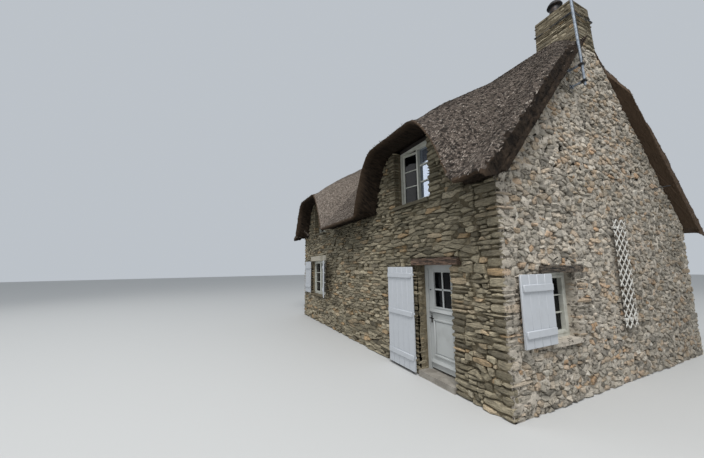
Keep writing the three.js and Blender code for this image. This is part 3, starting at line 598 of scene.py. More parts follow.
def opening(face, at, wide, low, high, deep, seed):
    """An opening: no stone lies in it, and blocks line both of its sides."""
    holes[face].append((at - wide / 2, low, at + wide / 2, high))
    jamb(face, at - wide / 2, -1, low, high, deep, seed)
    jamb(face, at + wide / 2, 1, low, high, deep, seed + 50)


def keep_clear(face, node, gap=0.012):
    """No stone lies where a lintel or a sill shows."""
    low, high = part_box(node)
    sign = -1 if face in ("back", "west") else 1
    axis = 0 if face in ("front", "back") else 1
    u0, u1 = sorted((sign * low[axis], sign * high[axis]))
    holes[face].append((u0 - gap, low.z - gap, u1 + gap, high.z + gap))


for face, node in (("front", "door_lintel"), ("front", "front_window_lintel"),
                   ("front", "dormer_1_sill"), ("front", "dormer_2_sill"),
                   ("east", "gable_window_lintel")):
    keep_clear(face, node)
opening("front", at=3.275, wide=0.85, low=0.0, high=1.95, deep=0.2, seed=11)
opening("front", at=-2.85, wide=1.4, low=0.88, high=2.145, deep=0.095, seed=12)
opening("front", at=2.75, wide=1.08, low=3.09, high=4.41, deep=0.19, seed=13)
opening("front", at=-2.75, wide=1.08, low=3.09, high=4.41, deep=0.19, seed=14)
opening("east", at=-1.74, wide=0.69, low=0.78, high=1.815, deep=0.15, seed=15)
opening("back", at=2.2, wide=0.8, low=0.98, high=2.14, deep=0.15, seed=16)
opening("back", at=-2.2, wide=0.8, low=0.98, high=2.14, deep=0.15, seed=17)
HOLE = 0.06  # half the side of a scaffold hole
for y, z in ((-1.38, 3.82), (0.795, 4.54), (0.925, 3.7)):
    holes["east"].append((y - HOLE, z - HOLE, y + HOLE, z + HOLE))
FRONT_CORNER, BACK_CORNER = 3.12, 2.68  # heights of the corners under the eaves
corner("front", 1, "east", FRONT_CORNER, seed=21)
corner("back", -1, "east", BACK_CORNER, seed=22)
corner("front", -1, "west", FRONT_CORNER, seed=23)
corner("back", 1, "west", BACK_CORNER, seed=24)

# Stones of the four walls, laid round the blocks and cut along the verges and brows. They all
# share one finish: buff in front and behind, darker and mossy green towards the top of the front
# partly as painted eave shade, paler and greyer on the gables, dark with soot on the stack, and
# darkened by painted shade in small hollows, behind the trellis, towards the back of the gables
# and on the stack's east face.
PITCH = 1.15  # rise of the gables for each unit of run
APEX = (-0.1957, 6.404)  # the gables' peak, across the house and up
BAND = {-1: 0.16, 1: 0.06}  # mortar left bare along the front verge and the back one
FOOT = 0.01  # the lowest stones start this far up
BROW_TOP, GABLE_TOP = 4.36, 6.03  # and the highest ones end here
under_verge = [((APEX[0], APEX[1] - BAND[side], 0), (side * PITCH, 1, 0)) for side in (-1, 1)]
mirrored = [((-APEX[0], APEX[1] - BAND[-side], 0), (side * PITCH, 1, 0)) for side in (-1, 1)]
lay_rubble(piles["front"], FACES["front"], (-EAST, FOOT, EAST, BROW_TOP), holes["front"], 1,
           SLABS, top=brow)
lay_rubble(piles["east"], FACES["east"], (FRONT, FOOT, -FRONT, GABLE_TOP), holes["east"], 2,
           RANDOM, cuts=under_verge)
lay_rubble(piles["back"], FACES["back"], (-EAST, FOOT, EAST, BACK_CORNER), holes["back"], 3,
           BACK_SLABS)
lay_rubble(piles["west"], FACES["west"], (FRONT, FOOT, -FRONT, GABLE_TOP), holes["west"], 4,
           WEST_RANDOM, cuts=mirrored)

schist = Finish("split_schist", roughness=0.88)
along, across, up = schist.axes()
tone = schist.tone()
buff = tone.node("ShaderNodeValToRGB", {"stops": [
    (0.0, paint(94, 86, 69)), (0.2, paint(154, 143, 118)), (0.4, paint(192, 179, 151)),
    (0.56, paint(124, 115, 96)), (0.72, paint(204, 191, 162)), (0.84, paint(162, 150, 126)),
    (0.92, paint(194, 161, 118)), (1.0, paint(216, 204, 178))]}, {0: tone})
pale = tone.node("ShaderNodeValToRGB", {"stops": [
    (0.0, paint(132, 126, 117)), (0.2, paint(208, 197, 180)), (0.4, paint(168, 161, 149)),
    (0.58, paint(222, 212, 196)), (0.73, paint(196, 171, 142)), (0.86, paint(214, 203, 186)),
    (0.94, paint(208, 170, 132)), (1.0, paint(242, 235, 221))]}, {0: tone})
between_corners = (abs(along) > GABLE_CORE) * (abs(across) < CORNER_FROM)
on_gable = ((abs(along) > 4.642) + between_corners > 0.5) * (up < 6.0)
colour = mix(on_gable, buff, pale)
veins = grain(schist.here, 11, 6, 0.72, stretch=(0.9, 0.9, 6))
colour = mix(ramp(veins, 0.44, 0.62) * (0.75 - on_gable * 0.35), colour, paint(72, 65, 51))
colour = mix(ramp(grain(schist.here, 60, 3), 0.55, 0.8) * 0.4, colour, paint(196, 188, 168))
colour = mix(ramp(grain(schist.here, 1.1, 5), 0.42, 0.62) * 0.35, colour, paint(92, 86, 68))
# Spots of painted shade for small hollows over the stones, stronger on the gables.
gap_shade = pit_shade(schist.here) * (on_gable * 0.35 + 0.3)
colour = mix(gap_shade, colour, paint(48, 43, 35))
blotch = ramp(grain(schist.here, 34, 4, 0.7), 0.4, 0.62)
colour = mix(blotch * 0.2, colour, paint(74, 67, 55))
# Soot darkens the stack; the extra darkening of its east face is painted shade.
soot_and_east_shade = ramp(up, 5.95, 6.25) * ((along > GABLE_SKIN) * 0.2 + 0.2)
shaded = ramp(across, -0.8, 1.6) * on_gable * 0.3
colour = mix(soot_and_east_shade + shaded, colour, paint(66, 61, 48))
# Painted shade on the stones behind the trellis.
colour = mix(trellis_shade(along, across, up) * 0.6, colour, paint(60, 54, 46))
# Mossy green patches, partly painted shade of the eaves, darken the top of the front wall.
moss_and_eave_shade = ramp(up, 1.7, 3.1) * (across < -CORNER_FROM) * (1 - on_gable)
colour = mix(moss_and_eave_shade * ramp(grain(schist.here, 1.3, 4), 0.2, 0.65) * 0.6, colour, paint(66, 63, 44))
schist.set("Base Color", colour)
schist.bump(veins + grain(schist.here, 70, 4) * 0.4, 0.02, 1.0)
for face, pile in piles.items():
    pile.piece(f"{face}_stones", schist, slot="stone")


# Thatch. Water reed on both slopes: copies of the two solids, drawn finer, rounded at the verges
# and uneven, and over them the cut ends of the reeds, each a short wedge that points downhill.
REED = {"long": (0.045, 0.1), "radius": (0.0045, 0.0095), "lift": (0.06, 0.34)}
VERGE_OUT = 0.16  # overhang of the solids past the gables
EAVE_OUT = 0.5  # overhang past the front and back walls
EAVE_LIP = {"front": 3.06, "back": 2.61, "wall": 2.7}  # lower edges, and the back wall's top
BROW_CLIMB = 0.5  # the ceiling over a dormer climbs inwards at this slope
LIP = {"at": 2.75, "rise": 1.325, "flat": 0.635, "foot": 1.555}  # how the front one rises
STREAK = Vector((24, 9, 9))  # fineness of the streaks of darker and paler reeds
DENSITY = {"thatch_front": 980, "thatch_back": 600}  # reed ends to the square metre
STUBBLE = 420  # and on the dark undersides


def refine(shape, size, wanted=lambda point: True):
    """Splits the wanted edges until none of them is longer than size."""
    for _ in range(6):
        long_edges = [edge for edge in shape.edges if edge.calc_length() > size
                      and wanted((edge.verts[0].co + edge.verts[1].co) / 2)]
        if not long_edges:
            break
        bmesh.ops.subdivide_edges(shape, edges=long_edges, cuts=1)
        bmesh.ops.triangulate(shape, faces=[face for face in shape.faces if len(face.verts) > 3])


def soffit(y):
    """Height of the gable's slope, on which the thatch lies."""
    return APEX[1] - PITCH * abs(y - APEX[0])


def at_stack(point):
    """True past the gable in front of the chimney stack, where the verges stop short."""
    return point.x > EAST - 0.03 and abs(point.y - APEX[0]) < 0.33


def in_the_open(point):
    """True where the thatch can be seen from outside."""
    if at_stack(point):
        return False
    return (point.z > soffit(point.y) + 0.02 or abs(point.x) > EAST - 0.05
            or abs(point.y) > -FRONT - 0.05)


def beneath(point):
    """True on the underside, inwards from an eave's lip."""
    out = (abs(point.y) - OUTER[1]) / EAVE_OUT
    if out <= 0:
        ceiling = soffit(point.y)
        if point.y < 0:
            ceiling = max(ceiling, brow(point.x) + BROW_CLIMB * (point.y + OUTER[1]))
        return point.z < ceiling + 0.05
    wall, lip = EAVE_LIP["wall"], EAVE_LIP["back"]
    if point.y < 0:
        wall, lip = brow(point.x), EAVE_LIP["front"] + arch(point.x, LIP)
    return point.z < wall + (lip - wall) * out + 0.055


def in_shade(face):
    """True on the faces that take the dark reed of painted shade: the underside, and the cut end
    of the coat at a verge.
    """
    middle = face.calc_center_median()
    turned = abs(face.normal.x) + 0.3 * noise.noise(middle * 4)
    return beneath(middle) or (turned > 0.72 and abs(middle.x) > EAST + 0.03)


def shake(shape, sizes, wanted=lambda vert: True):
    """Moves the wanted points along their normals by noise of each fineness and height."""
    shape.normal_update()
    moves = [(vert, vert.normal * sum(high * noise.noise(vert.co * fine) for fine, high in sizes))
             for vert in shape.verts if wanted(vert)]
    for vert, move in moves:
        vert.co += move


def round_verge(shape):
    """Draws the foot of each verge in, swells its middle and rounds its upper edge."""
    for vert in shape.verts:
        past = abs(vert.co.x) - EAST
        if past < 0.001:
            continue
        if at_stack(vert.co):
            vert.co.x = EAST - 0.02
            continue
        high = vert.co.z - soffit(vert.co.y)
        t = min(1, max(0, high / 0.3))
        share = past / VERGE_OUT
        vert.co.x += math.copysign(past * (0.34 * t * t * (3 - 2 * t) - 0.22), vert.co.x)
        if high > 0.2:
            vert.co.z -= 0.1 * share**3


def reed_end():
    """Points and faces of one cut reed, a three-sided cone of unit size."""
    cone = bmesh.new()
    bmesh.ops.create_cone(cone, cap_ends=True, segments=3, radius1=1, radius2=0, depth=1)
    cone.verts.index_update()
    points = [vert.co.copy() for vert in cone.verts]
    faces = [[vert.index for vert in face.verts] for face in cone.faces]
    cone.free()
    return points, faces


def downhill_on(face):
    """The way down the slope along a face, and almost straight down where it stands upright."""
    normal = face.normal
    side = 1 if face.calc_center_median().y > APEX[0] else -1
    downhill = Vector((0, side, -PITCH)).normalized()
    if normal.z < 0.2 and abs(normal.x) < 0.6:
        downhill = Vector((0, 0.25 * side, -1))
    return (downhill - normal * downhill.dot(normal)).normalized()


def lodge(face, downhill, share, luck):
    """A random place on a face for one reed end, which points downhill and lifts its tip."""
    s, t = luck.random(), luck.random()
    if s + t > 1:
        s, t = 1 - s, 1 - t
    normal = face.normal
    lift = luck.uniform(*REED["lift"]) * share
    way = downhill + normal.cross(downhill) * luck.uniform(-0.35, 0.35) + normal * lift
    way.normalize()
    thick = way.cross(normal).normalized()
    length, radius = luck.uniform(*REED["long"]), luck.uniform(*REED["radius"])
    a, b, c = [vert.co for vert in face.verts]
    centre = a + (b - a) * s + (c - a) * t - way * length * 0.22
    turned = Matrix((thick * radius, way.cross(thick) * radius, -way * length)).transposed()
    return Matrix.Translation(centre) @ turned.to_4x4()


def lay_reeds(pile, shape, density, luck, under=False):
    """Scatters reed ends over one side of a slope, this many to the square metre."""
    points, faces = reed_end()
    for face in shape.faces:
        middle = face.calc_center_median()
        if not in_the_open(middle) or in_shade(face) != under:
            continue
        downhill = downhill_on(face)
        share = 0.3 if under or face.normal.z < 0.25 or middle.y < FRONT else 1.0
        for _ in range(int(face.calc_area() * density + luck.random())):
            place = lodge(face, downhill, share, luck)
            streak = noise.noise(place.translation * STREAK)
            tone = min(1, max(0, 0.18 + 0.64 * luck.random() + 0.6 * streak))
            pile.repeat(points, faces, place, tone)


straw = Finish("weathered_reed", roughness=0.95)
straw.set("Specular IOR Level", 0.2)
along = straw.axes()[0]
tone = straw.tone()
cloud = grain(straw.here, 0.8, 4)
colour = mix(ramp(cloud, 0.38, 0.62), paint(98, 88, 80), paint(134, 122, 111))
by_tone = tone.node("ShaderNodeValToRGB", {"stops": [
    (0.0, paint(82, 73, 66)), (0.25, paint(96, 86, 78)), (0.45, paint(138, 126, 117)),
    (0.7, paint(168, 157, 146)), (0.9, paint(188, 178, 166)), (1.0, paint(200, 190, 178))]},
    {0: tone})
colour = mix(ramp(cloud, 0.3, 0.7) * 0.2 + 0.68, colour, by_tone)
dark = ramp(grain(straw.here, 2.1, 5, 0.65), 0.5, 0.72)
colour = mix(dark * 0.55, colour, paint(48, 41, 36))
colour = mix(ramp(grain(straw.here, 5.5, 3), 0.6, 0.8) * 0.25, colour, paint(96, 98, 74))
speck = grain(straw.here, 20, 4, 0.65)
far = ramp(along, 2.6, -1.4)
colour = mix(far * 0.3, colour, paint(164, 152, 140))
# Dark specks of painted shade between the reed ends, fewer towards the paler west end.
colour = mix(ramp(speck, 0.47, 0.57) * (0.88 - far * 0.36), colour, paint(24, 20, 17))
straw.set("Base Color", colour)
straw.bump(grain(straw.here, 90, 4, 0.7, stretch=(1.6, 0.6, 0.5)), 0.02, 1.0)

# A darker copy of the reed, which paints the shade on the underside and on the cut ends at the
# verges.
shade = Finish("reed_in_painted_shade", roughness=0.95)
shade.set("Specular IOR Level", 0.1)
ribs = grain(shade.here, 26, 4, 0.6, stretch=(2.2, 0.25, 0.25))
colour = mix(ramp(ribs, 0.35, 0.7), paint(22, 18, 15), paint(58, 48, 39))
across = shade.axes()[1]
# Painted light: the dark reed paler towards the front lip, and paler over the whole back slope.
lip_light = ramp(across, -3.35, -3.55)
colour = mix(lip_light * 0.4 + (across > 0) * 0.5, colour, paint(110, 92, 76))
shade.set("Base Color", colour)
shade.bump(ribs, 0.03, 1.0)

for (node, density), seed in zip(DENSITY.items(), (31, 32)):
    coat = copy_of(node)
    refine(coat, 0.085, in_the_open)
    smooth = [vert for vert in coat.verts if vert.co.z > soffit(vert.co.y) + 0.18
              and abs(vert.co.y) < -FRONT + 0.42 and abs(vert.co.x) < EAST]
    for _ in range(4):
        bmesh.ops.smooth_vert(coat, verts=smooth, factor=0.5, use_axis_x=True,
                              use_axis_y=True, use_axis_z=True)
    round_verge(coat)
    shake(coat, ((1.3, 0.012), (5, 0.009), (17, 0.007)), lambda vert: in_the_open(vert.co))
    coat.normal_update()
    for face in coat.faces:
        face.material_index = 1 if in_shade(face) else 0
    mesh = bpy.data.meshes.new(f"{node}_coat")
    coat.to_mesh(mesh)
    show(f"{node}_coat", mesh, straw, replaces=(node,))
    mesh.materials.append(shade.material)
    reeds = Pile()
    lay_reeds(reeds, coat, density, random.Random(seed))
    reeds.piece(f"{node}_reeds", straw, slot="thatch")
    stubble = Pile()
    lay_reeds(stubble, coat, STUBBLE, random.Random(seed + 10), under=True)
    stubble.piece(f"{node}_underside", shade, slot="thatch")
    coat.free()


# Ridge. A cap of lime mortar along the top of the thatch, and a fillet of it where the thatch
# meets the chimney stack.
RIDGE_Y = APEX[0]
STACK = {"west": 3.93, "half": 0.32}  # the stack's inner face, and half its depth
FILLET_Z = (6.247, 6.07)  # height of the fillet at its inner end and at the gable


def bar(start, end, wide, thick, luck, step=0.05, rough=0.006):
    """An uneven strip of mortar or timber between two points, wide across them and level."""
    shape = bmesh.new()
    bmesh.ops.create_cube(shape, size=1)
    way = Vector(end) - Vector(start)
    bmesh.ops.scale(shape, verts=shape.verts, vec=(way.length, wide, thick))
    refine(shape, max(step, min(wide, thick)))
    for vert in shape.verts:
        vert.co += Vector([luck.uniform(-rough, rough) for _ in range(3)])
    turn = way.to_track_quat("X", "Z").to_matrix().to_4x4()
    middle = (Vector(start) + Vector(end)) / 2
    bmesh.ops.transform(shape, matrix=Matrix.Translation(middle) @ turn, verts=shape.verts)
    return shape


cap_finish = Finish("ridge_mortar", roughness=0.95)
cloud = grain(cap_finish.here, 5, 5)
colour = mix(ramp(cloud, 0.35, 0.65), paint(120, 112, 100), paint(164, 156, 142))
cap_finish.set("Base Color", mix(ramp(grain(cap_finish.here, 1.4, 4), 0.5, 0.7) * 0.5, colour,
                                 paint(84, 80, 66)))
cap_finish.bump(grain(cap_finish.here, 40, 5), 0.02, 0.9)
cap = copy_of("ridge_cap")
refine(cap, 0.1)
shake(cap, ((1.1, 0.02), (6, 0.012), (20, 0.006)), lambda vert: vert.co.x < 3.9)
mesh = bpy.data.meshes.new("ridge_cap_mortar")
cap.to_mesh(mesh)
cap.free()
show("ridge_cap_mortar", mesh, cap_finish, replaces=("ridge_cap",))

luck = random.Random(41)
fillet = Pile()
for side in (-1, 1):
    y = RIDGE_Y + side * (STACK["half"] + 0.012)
    start, end = (STACK["west"] - 0.14, y, FILLET_Z[0]), (EAST - 0.12, y, FILLET_Z[1])
    fillet.add(bar(start, end, 0.05, 0.03, luck))
fillet.piece("stack_fillet", cap_finish, slot="ridge_mortar")


# Chimney stack. Thin slabs of schist laid in courses all round the tapered stack, which stands on
# the gable's peak, with the ends of every other course running past the corner.
STACK_FOOT, STACK_TOP = 6.035, 6.97
STACK_MIDDLE = (4.29, RIDGE_Y)
STACK_HALF = ((0.36, 0.32), (0.34, 0.29))  # along X and Y, at the foot and at the top
SLATE_Z = 6.67  # height of the drip course


def stack_half(z):
    """Half the length and half the depth of the stack at a height."""
    t = (z - STACK_FOOT) / (STACK_TOP - STACK_FOOT)
    return [foot + (top - foot) * t for foot, top in zip(*STACK_HALF)]


luck = random.Random(42)
stack = Pile()
for i, (z0, z1) in enumerate(courses(STACK_FOOT, STACK_TOP, 0.035, 0.085, luck)):
    half = stack_half((z0 + z1) / 2)
    for axis in (0, 1):
        past = 0.012 if (i + axis) % 2 else -0.1
        for side in (-1, 1):
            a = -half[1 - axis] - past
            while a < half[1 - axis] + past - 0.02:
                b = min(a + luck.uniform(0.1, 0.34), half[1 - axis] + past)
                proud = luck.uniform(0.006, 0.026)
                ends = sorted((side * (half[axis] - 0.09), side * (half[axis] + proud)))
                low, high = [0, 0, z0], [0, 0, z1]
                low[axis], high[axis] = [STACK_MIDDLE[axis] + end for end in ends]
                low[1 - axis] = STACK_MIDDLE[1 - axis] + a + JOINT / 2
                high[1 - axis] = STACK_MIDDLE[1 - axis] + b - JOINT / 2
                if b - a > 0.04:
                    stack.add(hew(low, high, luck, 0.007), tone=luck.random())
                a = b
stack.piece("stack_stones", schist, slot="stone")

# Drip course. Split slates bedded in one joint of the stack, a little proud of it on all sides,
# to throw off the rain.
slates = Pile()
half = stack_half(SLATE_Z)
for axis in (0, 1):
    for side in (-1, 1):
        a = -half[1 - axis] - 0.03
        while a < half[1 - axis] + 0.02:
            b = min(a + luck.uniform(0.13, 0.22), half[1 - axis] + 0.035)
            out = luck.uniform(0.018, 0.042)
            ends = sorted((side * (half[axis] - 0.03), side * (half[axis] + out)))
            lift = luck.uniform(-0.004, 0.004)
            low, high = [0, 0, SLATE_Z - 0.006 + lift], [0, 0, SLATE_Z + 0.007 + lift]
            low[axis], high[axis] = [STACK_MIDDLE[axis] + end for end in ends]
            low[1 - axis] = STACK_MIDDLE[1 - axis] + a + 0.002
            high[1 - axis] = STACK_MIDDLE[1 - axis] + b - 0.002
            slates.add(hew(low, high, luck, 0.002), tone=luck.random())
            a = b
slate = Finish("slate", roughness=0.6)
slate.set("Base Color", mix(slate.tone(), paint(58, 60, 66), paint(84, 86, 92)))
slate.bump(grain(slate.here, 60, 4), 0.004, 0.6)
slates.piece("drip_slates", slate, slot="slate", replaces=("chimney_slates",))

# Bed of the cowl. Lime mortar over the top of the stack, domed so that the rain runs off it.
# It is a grid drawn up in the middle and given a flat underside.
bed = bmesh.new()
bmesh.ops.create_grid(bed, x_segments=10, y_segments=10, size=0.5)
half = stack_half(STACK_TOP)
for vert in bed.verts:
    edge = max(abs(vert.co.x), abs(vert.co.y)) * 2
    rise = 0.045 * (1 - edge**2) + 0.008 * noise.noise(vert.co * 9)
    vert.co = (STACK_MIDDLE[0] + vert.co.x * 2 * (half[0] - 0.01),
               STACK_MIDDLE[1] + vert.co.y * 2 * (half[1] - 0.01), STACK_TOP + 0.004 + rise)
made = bmesh.ops.extrude_face_region(bed, geom=bed.faces[:], use_keep_orig=True)
for vert in [item for item in made["geom"] if isinstance(item, bmesh.types.BMVert)]:
    vert.co.z = STACK_TOP - 0.01
bmesh.ops.recalc_face_normals(bed, faces=bed.faces[:])
mesh = bpy.data.meshes.new("stack_flaunching")
bed.to_mesh(mesh)
bed.free()
show("stack_flaunching", mesh, cap_finish)

# Cowl. Spun sheet iron, a little rusty: a skirted pot with two beads and a hood on top, bedded in
# the mortar of the stack.
low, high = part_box("chimney_cowl")
cowl_middle = (low + high) / 2
COWL = ((0.0, 0.0), (0.125, 0.0), (0.12, 0.02), (0.105, 0.06), (0.1, 0.17), (0.104, 0.175),
        (0.104, 0.195), (0.1, 0.2), (0.095, 0.29), (0.095, 0.31), (0.136, 0.322), (0.14, 0.335),
        (0.125, 0.37), (0.09, 0.415), (0.03, 0.436), (0.0, 0.44))  # radius and height


def spun(profile, middle, steps=40):
    """A round body turned from its outline of radius and height, about an upright axis."""
    shape = bmesh.new()
    verts = [shape.verts.new((radius, 0, z)) for radius, z in profile]
    edges = [shape.edges.new(pair) for pair in zip(verts, verts[1:])]
    bmesh.ops.spin(shape, geom=verts + edges, cent=(0, 0, 0), axis=(0, 0, 1),
                   angle=math.tau, steps=steps, use_duplicate=False)
    bmesh.ops.remove_doubles(shape, verts=shape.verts, dist=1e-5)
    bmesh.ops.recalc_face_normals(shape, faces=shape.faces[:])
    bmesh.ops.translate(shape, verts=shape.verts, vec=middle)
    return shape


dark_iron = Finish("dark_iron", roughness=0.55, metallic=0.6)
rust = ramp(grain(dark_iron.here, 22, 5), 0.5, 0.75)
dark_iron.set("Base Color", mix(rust, paint(38, 38, 40), paint(74, 58, 46)))
cowl = Pile()
cowl.add(spun(COWL, (cowl_middle.x, cowl_middle.y, low.z)))
cowl.piece("cowl_metal", dark_iron, slot="iron", replaces=("chimney_cowl",))


# Lintels, sills and threshold. Rough oak over the doorway and the gable window, split along its
# grain, pale granite over the front window, split schist under the dormers and a worn slab at the
# door.
def worked(name, node, finish, size, sizes):
    """A piece in place of a CAD node: its own shape drawn finer and uneven, above the ground."""
    shape = copy_of(node)
    refine(shape, size)
    shake(shape, sizes)
    for vert in shape.verts:
        vert.co.z = max(vert.co.z, 0)
    mesh = bpy.data.meshes.new(name)
    shape.to_mesh(mesh)
    shape.free()
    show(name, mesh, finish, replaces=(node,))


def timber(name, dark, pale, axis):
    """Old oak with its grain along an axis."""
    made = Finish(name, roughness=0.9)
    stretch = [9, 9, 9]
    stretch[axis] = 0.7
    lines = grain(made.here, 7, 6, 0.7, stretch=stretch)
    made.set("Base Color", mix(ramp(lines, 0.44, 0.58), dark, pale))
    made.bump(lines, 0.03, 1.0)
    return made


oak = timber("reddish_oak", paint(34, 25, 20), paint(120, 96, 79), 0)
grey_oak = timber("split_oak", paint(20, 17, 15), paint(116, 103, 88), 1)
worked("door_lintel_oak", "door_lintel", oak, 0.05, ((6, 0.012), (22, 0.008)))
worked("gable_lintel_oak", "gable_window_lintel", grey_oak, 0.045, ((7, 0.012), (25, 0.01)))
# The dormers' oak lintels are painted dark as the shade of the thatch above them.
dress(timber("oak_in_painted_shade", paint(26, 22, 19), paint(56, 48, 41), 0), "dormer_1_lintel",
      "dormer_2_lintel")

granite = Finish("pale_granite", roughness=0.85)
speck = grain(granite.here, 150, 3)
colour = mix(ramp(speck, 0.4, 0.6), paint(150, 143, 128), paint(186, 179, 163))
lichen = ramp(grain(granite.here, 3, 5), 0.5, 0.7)
granite.set("Base Color", mix(lichen * 0.6, colour, paint(112, 106, 86)))
granite.bump(speck + grain(granite.here, 20, 4), 0.006, 0.6)
worked("front_window_lintel_stone", "front_window_lintel", granite, 0.08,
       ((5, 0.006), (19, 0.003)))
for node in ("dormer_1_sill", "dormer_2_sill"):
    worked(f"{node}_slab", node, schist, 0.08, ((5, 0.008), (19, 0.004)))
worn_slab = Finish("worn_threshold", roughness=0.8)
colour = mix(ramp(grain(worn_slab.here, 5, 5), 0.35, 0.65), paint(128, 122, 113),
             paint(162, 156, 146))
worn_slab.set("Base Color", mix(ramp(grain(worn_slab.here, 60, 3), 0.5, 0.8) * 0.4, colour,
                                paint(70, 66, 60)))
worn_slab.bump(grain(worn_slab.here, 30, 5), 0.008, 0.7)
worked("threshold_slab", "threshold_stone", worn_slab, 0.06, ((4, 0.008), (19, 0.004)))


# Ground floor. Large flagstones of pale granite, bedded close on the slab, which is limed mortar.
FLOOR_PLACE = Matrix.Translation((0, 0, 0.1))  # on top of the slab
FLOORED = (4.04, 2.41)  # half the length and half the depth that the flags cover
FLAGS = {"size": (0.55, 0.42), "loose": 0.1, "slim": 1.0, "joint": 0.012, "ends": 1.0,
         "proud": (0.001, 0.003), "blunt": (0.08, 0.26), "tilt": (0, 0)}
flags = Pile()
lay_rubble(flags, FLOOR_PLACE, (-FLOORED[0], -FLOORED[1], *FLOORED), [], 5, FLAGS)
flags.piece("floor_flags", granite, slot="pale_stone")
dress(mortar, "floor_slab")


# Loft floor. Wide deal boards nailed side by side over the rooms, and a limed ceiling below them.
# Both are cut from the place of the floor's solid.
BOARD = {"wide": 0.2, "thick": 0.03, "edge": 0.003}


def block(low, high, edge=0.002):
    """A box between two corners with its edges eased."""
    shape = bmesh.new()
    bmesh.ops.create_cube(shape, size=1)
    low, high = Vector(low), Vector(high)
    bmesh.ops.scale(shape, verts=shape.verts, vec=high - low)
    bmesh.ops.translate(shape, verts=shape.verts, vec=(low + high) / 2)
    bmesh.ops.bevel(shape, geom=shape.edges[:], offset=edge, offset_type="OFFSET", segments=1,
                    profile=0.5, affect="EDGES", clamp_overlap=True, material=-1)
    return shape


boards = Pile()
low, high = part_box("loft_floor")
y = low.y
while y < high.y - 0.05:
    end = min(y + BOARD["wide"], high.y)
    board = block((low.x, y, high.z - BOARD["thick"]), (high.x, end, high.z), BOARD["edge"])
    boards.add(board, tone=luck.random())
    y = end
deal = timber("floor_boards", paint(96, 72, 48), paint(150, 120, 84), 0)
boards.piece("loft_boards", deal, slot="floor_boards")
ceiling = Pile()
ceiling.add(block(low, (high.x, high.y, high.z - BOARD["thick"] - 0.001)))
ceiling.piece("loft_ceiling", mortar, slot="floor_boards", replaces=("loft_floor",))


# Windows. Casements of painted wood in painted frames, with nearly opaque dark panes that paint
# the shade of the rooms behind, and one pane with a painted sky reflection. The frames are the
# solids, and the rails of each casement are raised on them, with glazing bars let in between.
white = Finish("white_paint", roughness=0.42)
wear = grain(white.here, 9, 5)
white.set("Base Color", mix(ramp(wear, 0.5, 0.75) * 0.3, paint(183, 186, 190),
                            paint(162, 164, 166)))
white.bump(grain(white.here, 60, 4, stretch=(1, 1, 0.1)), 0.002, 0.5)
cream = Finish("window_paint", roughness=0.5)
cream.set("Base Color", mix(ramp(grain(cream.here, 8, 5), 0.5, 0.7), paint(190, 190, 180),
                            paint(164, 164, 152)))
# Nearly opaque dark glass, which paints the shade of the rooms behind.
pane = Finish("window_glass", roughness=0.04)
pane.set("Base Color", paint(9, 10, 12))
pane.set("Alpha", 0.86)
pane.set("Specular IOR Level", 0.2)
# Painted reflection of the pale sky on the east dormer's glass.
painted_sky_pane = Finish("window_glass_painted_sky", roughness=0.04, metallic=0.75)
painted_sky_pane.set("Base Color", paint(158, 166, 180))
painted_sky_pane.set("Alpha", 0.9)


RAIL, RAIL_PROUD = 0.041, 0.007  # width of a casement's rail, and how far it stands out
BAR_DEPTHS = (-0.059, -0.03)  # back and front of a glazing bar, from the frame's face
EASED = 0.003  # edges of rails and bars
PAIR_EDGE, MULLION = 0.09, 0.045  # from a window's edge, or its middle, to a light
bars = Pile()


def rails(place, light):
    """The raised rails of a casement round its light."""
    u0, v0, u1, v1 = light
    for low, high in (((u0 - RAIL, v0 - RAIL), (u1 + RAIL, v0)),
                      ((u0 - RAIL, v1), (u1 + RAIL, v1 + RAIL)),
                      ((u0 - RAIL, v0), (u0, v1)), ((u1, v0), (u1 + RAIL, v1))):
        bars.add(block((*low, -0.004), (*high, RAIL_PROUD), EASED), place)


def glazing_bars(pile, place, light, rows, columns, depths=BAR_DEPTHS, wide=0.022):
    """Bars that divide a light into rows and columns of panes."""
    u0, v0, u1, v1 = light
    back, front = depths
    for i in range(1, rows):
        v = v0 + (v1 - v0) * i / rows
        low, high = (u0 - 0.002, v - wide / 2, back), (u1 + 0.002, v + wide / 2, front)
        pile.add(block(low, high, EASED), place)
    for i in range(1, columns):
        u = u0 + (u1 - u0) * i / columns
        low, high = (u - wide / 2, v0 - 0.002, back), (u + wide / 2, v1 + 0.002, front)
        pile.add(block(low, high, EASED), place)


def pair_of_lights(face, at, wide, low, high, back, skip_left=False):
    """Rails and bars of a window with two casements, whose frame lies this far in the wall."""
    place = FACES[face] @ Matrix.Translation((0, 0, -back))
    sides = [(at + MULLION, at + wide / 2 - PAIR_EDGE)]
    if not skip_left:
        sides.append((at - wide / 2 + PAIR_EDGE, at - MULLION))
    for u0, u1 in sides:
        light = (u0, low + PAIR_EDGE, u1, high - PAIR_EDGE)
        rails(place, light)
        glazing_bars(bars, place, light, rows=3, columns=1)


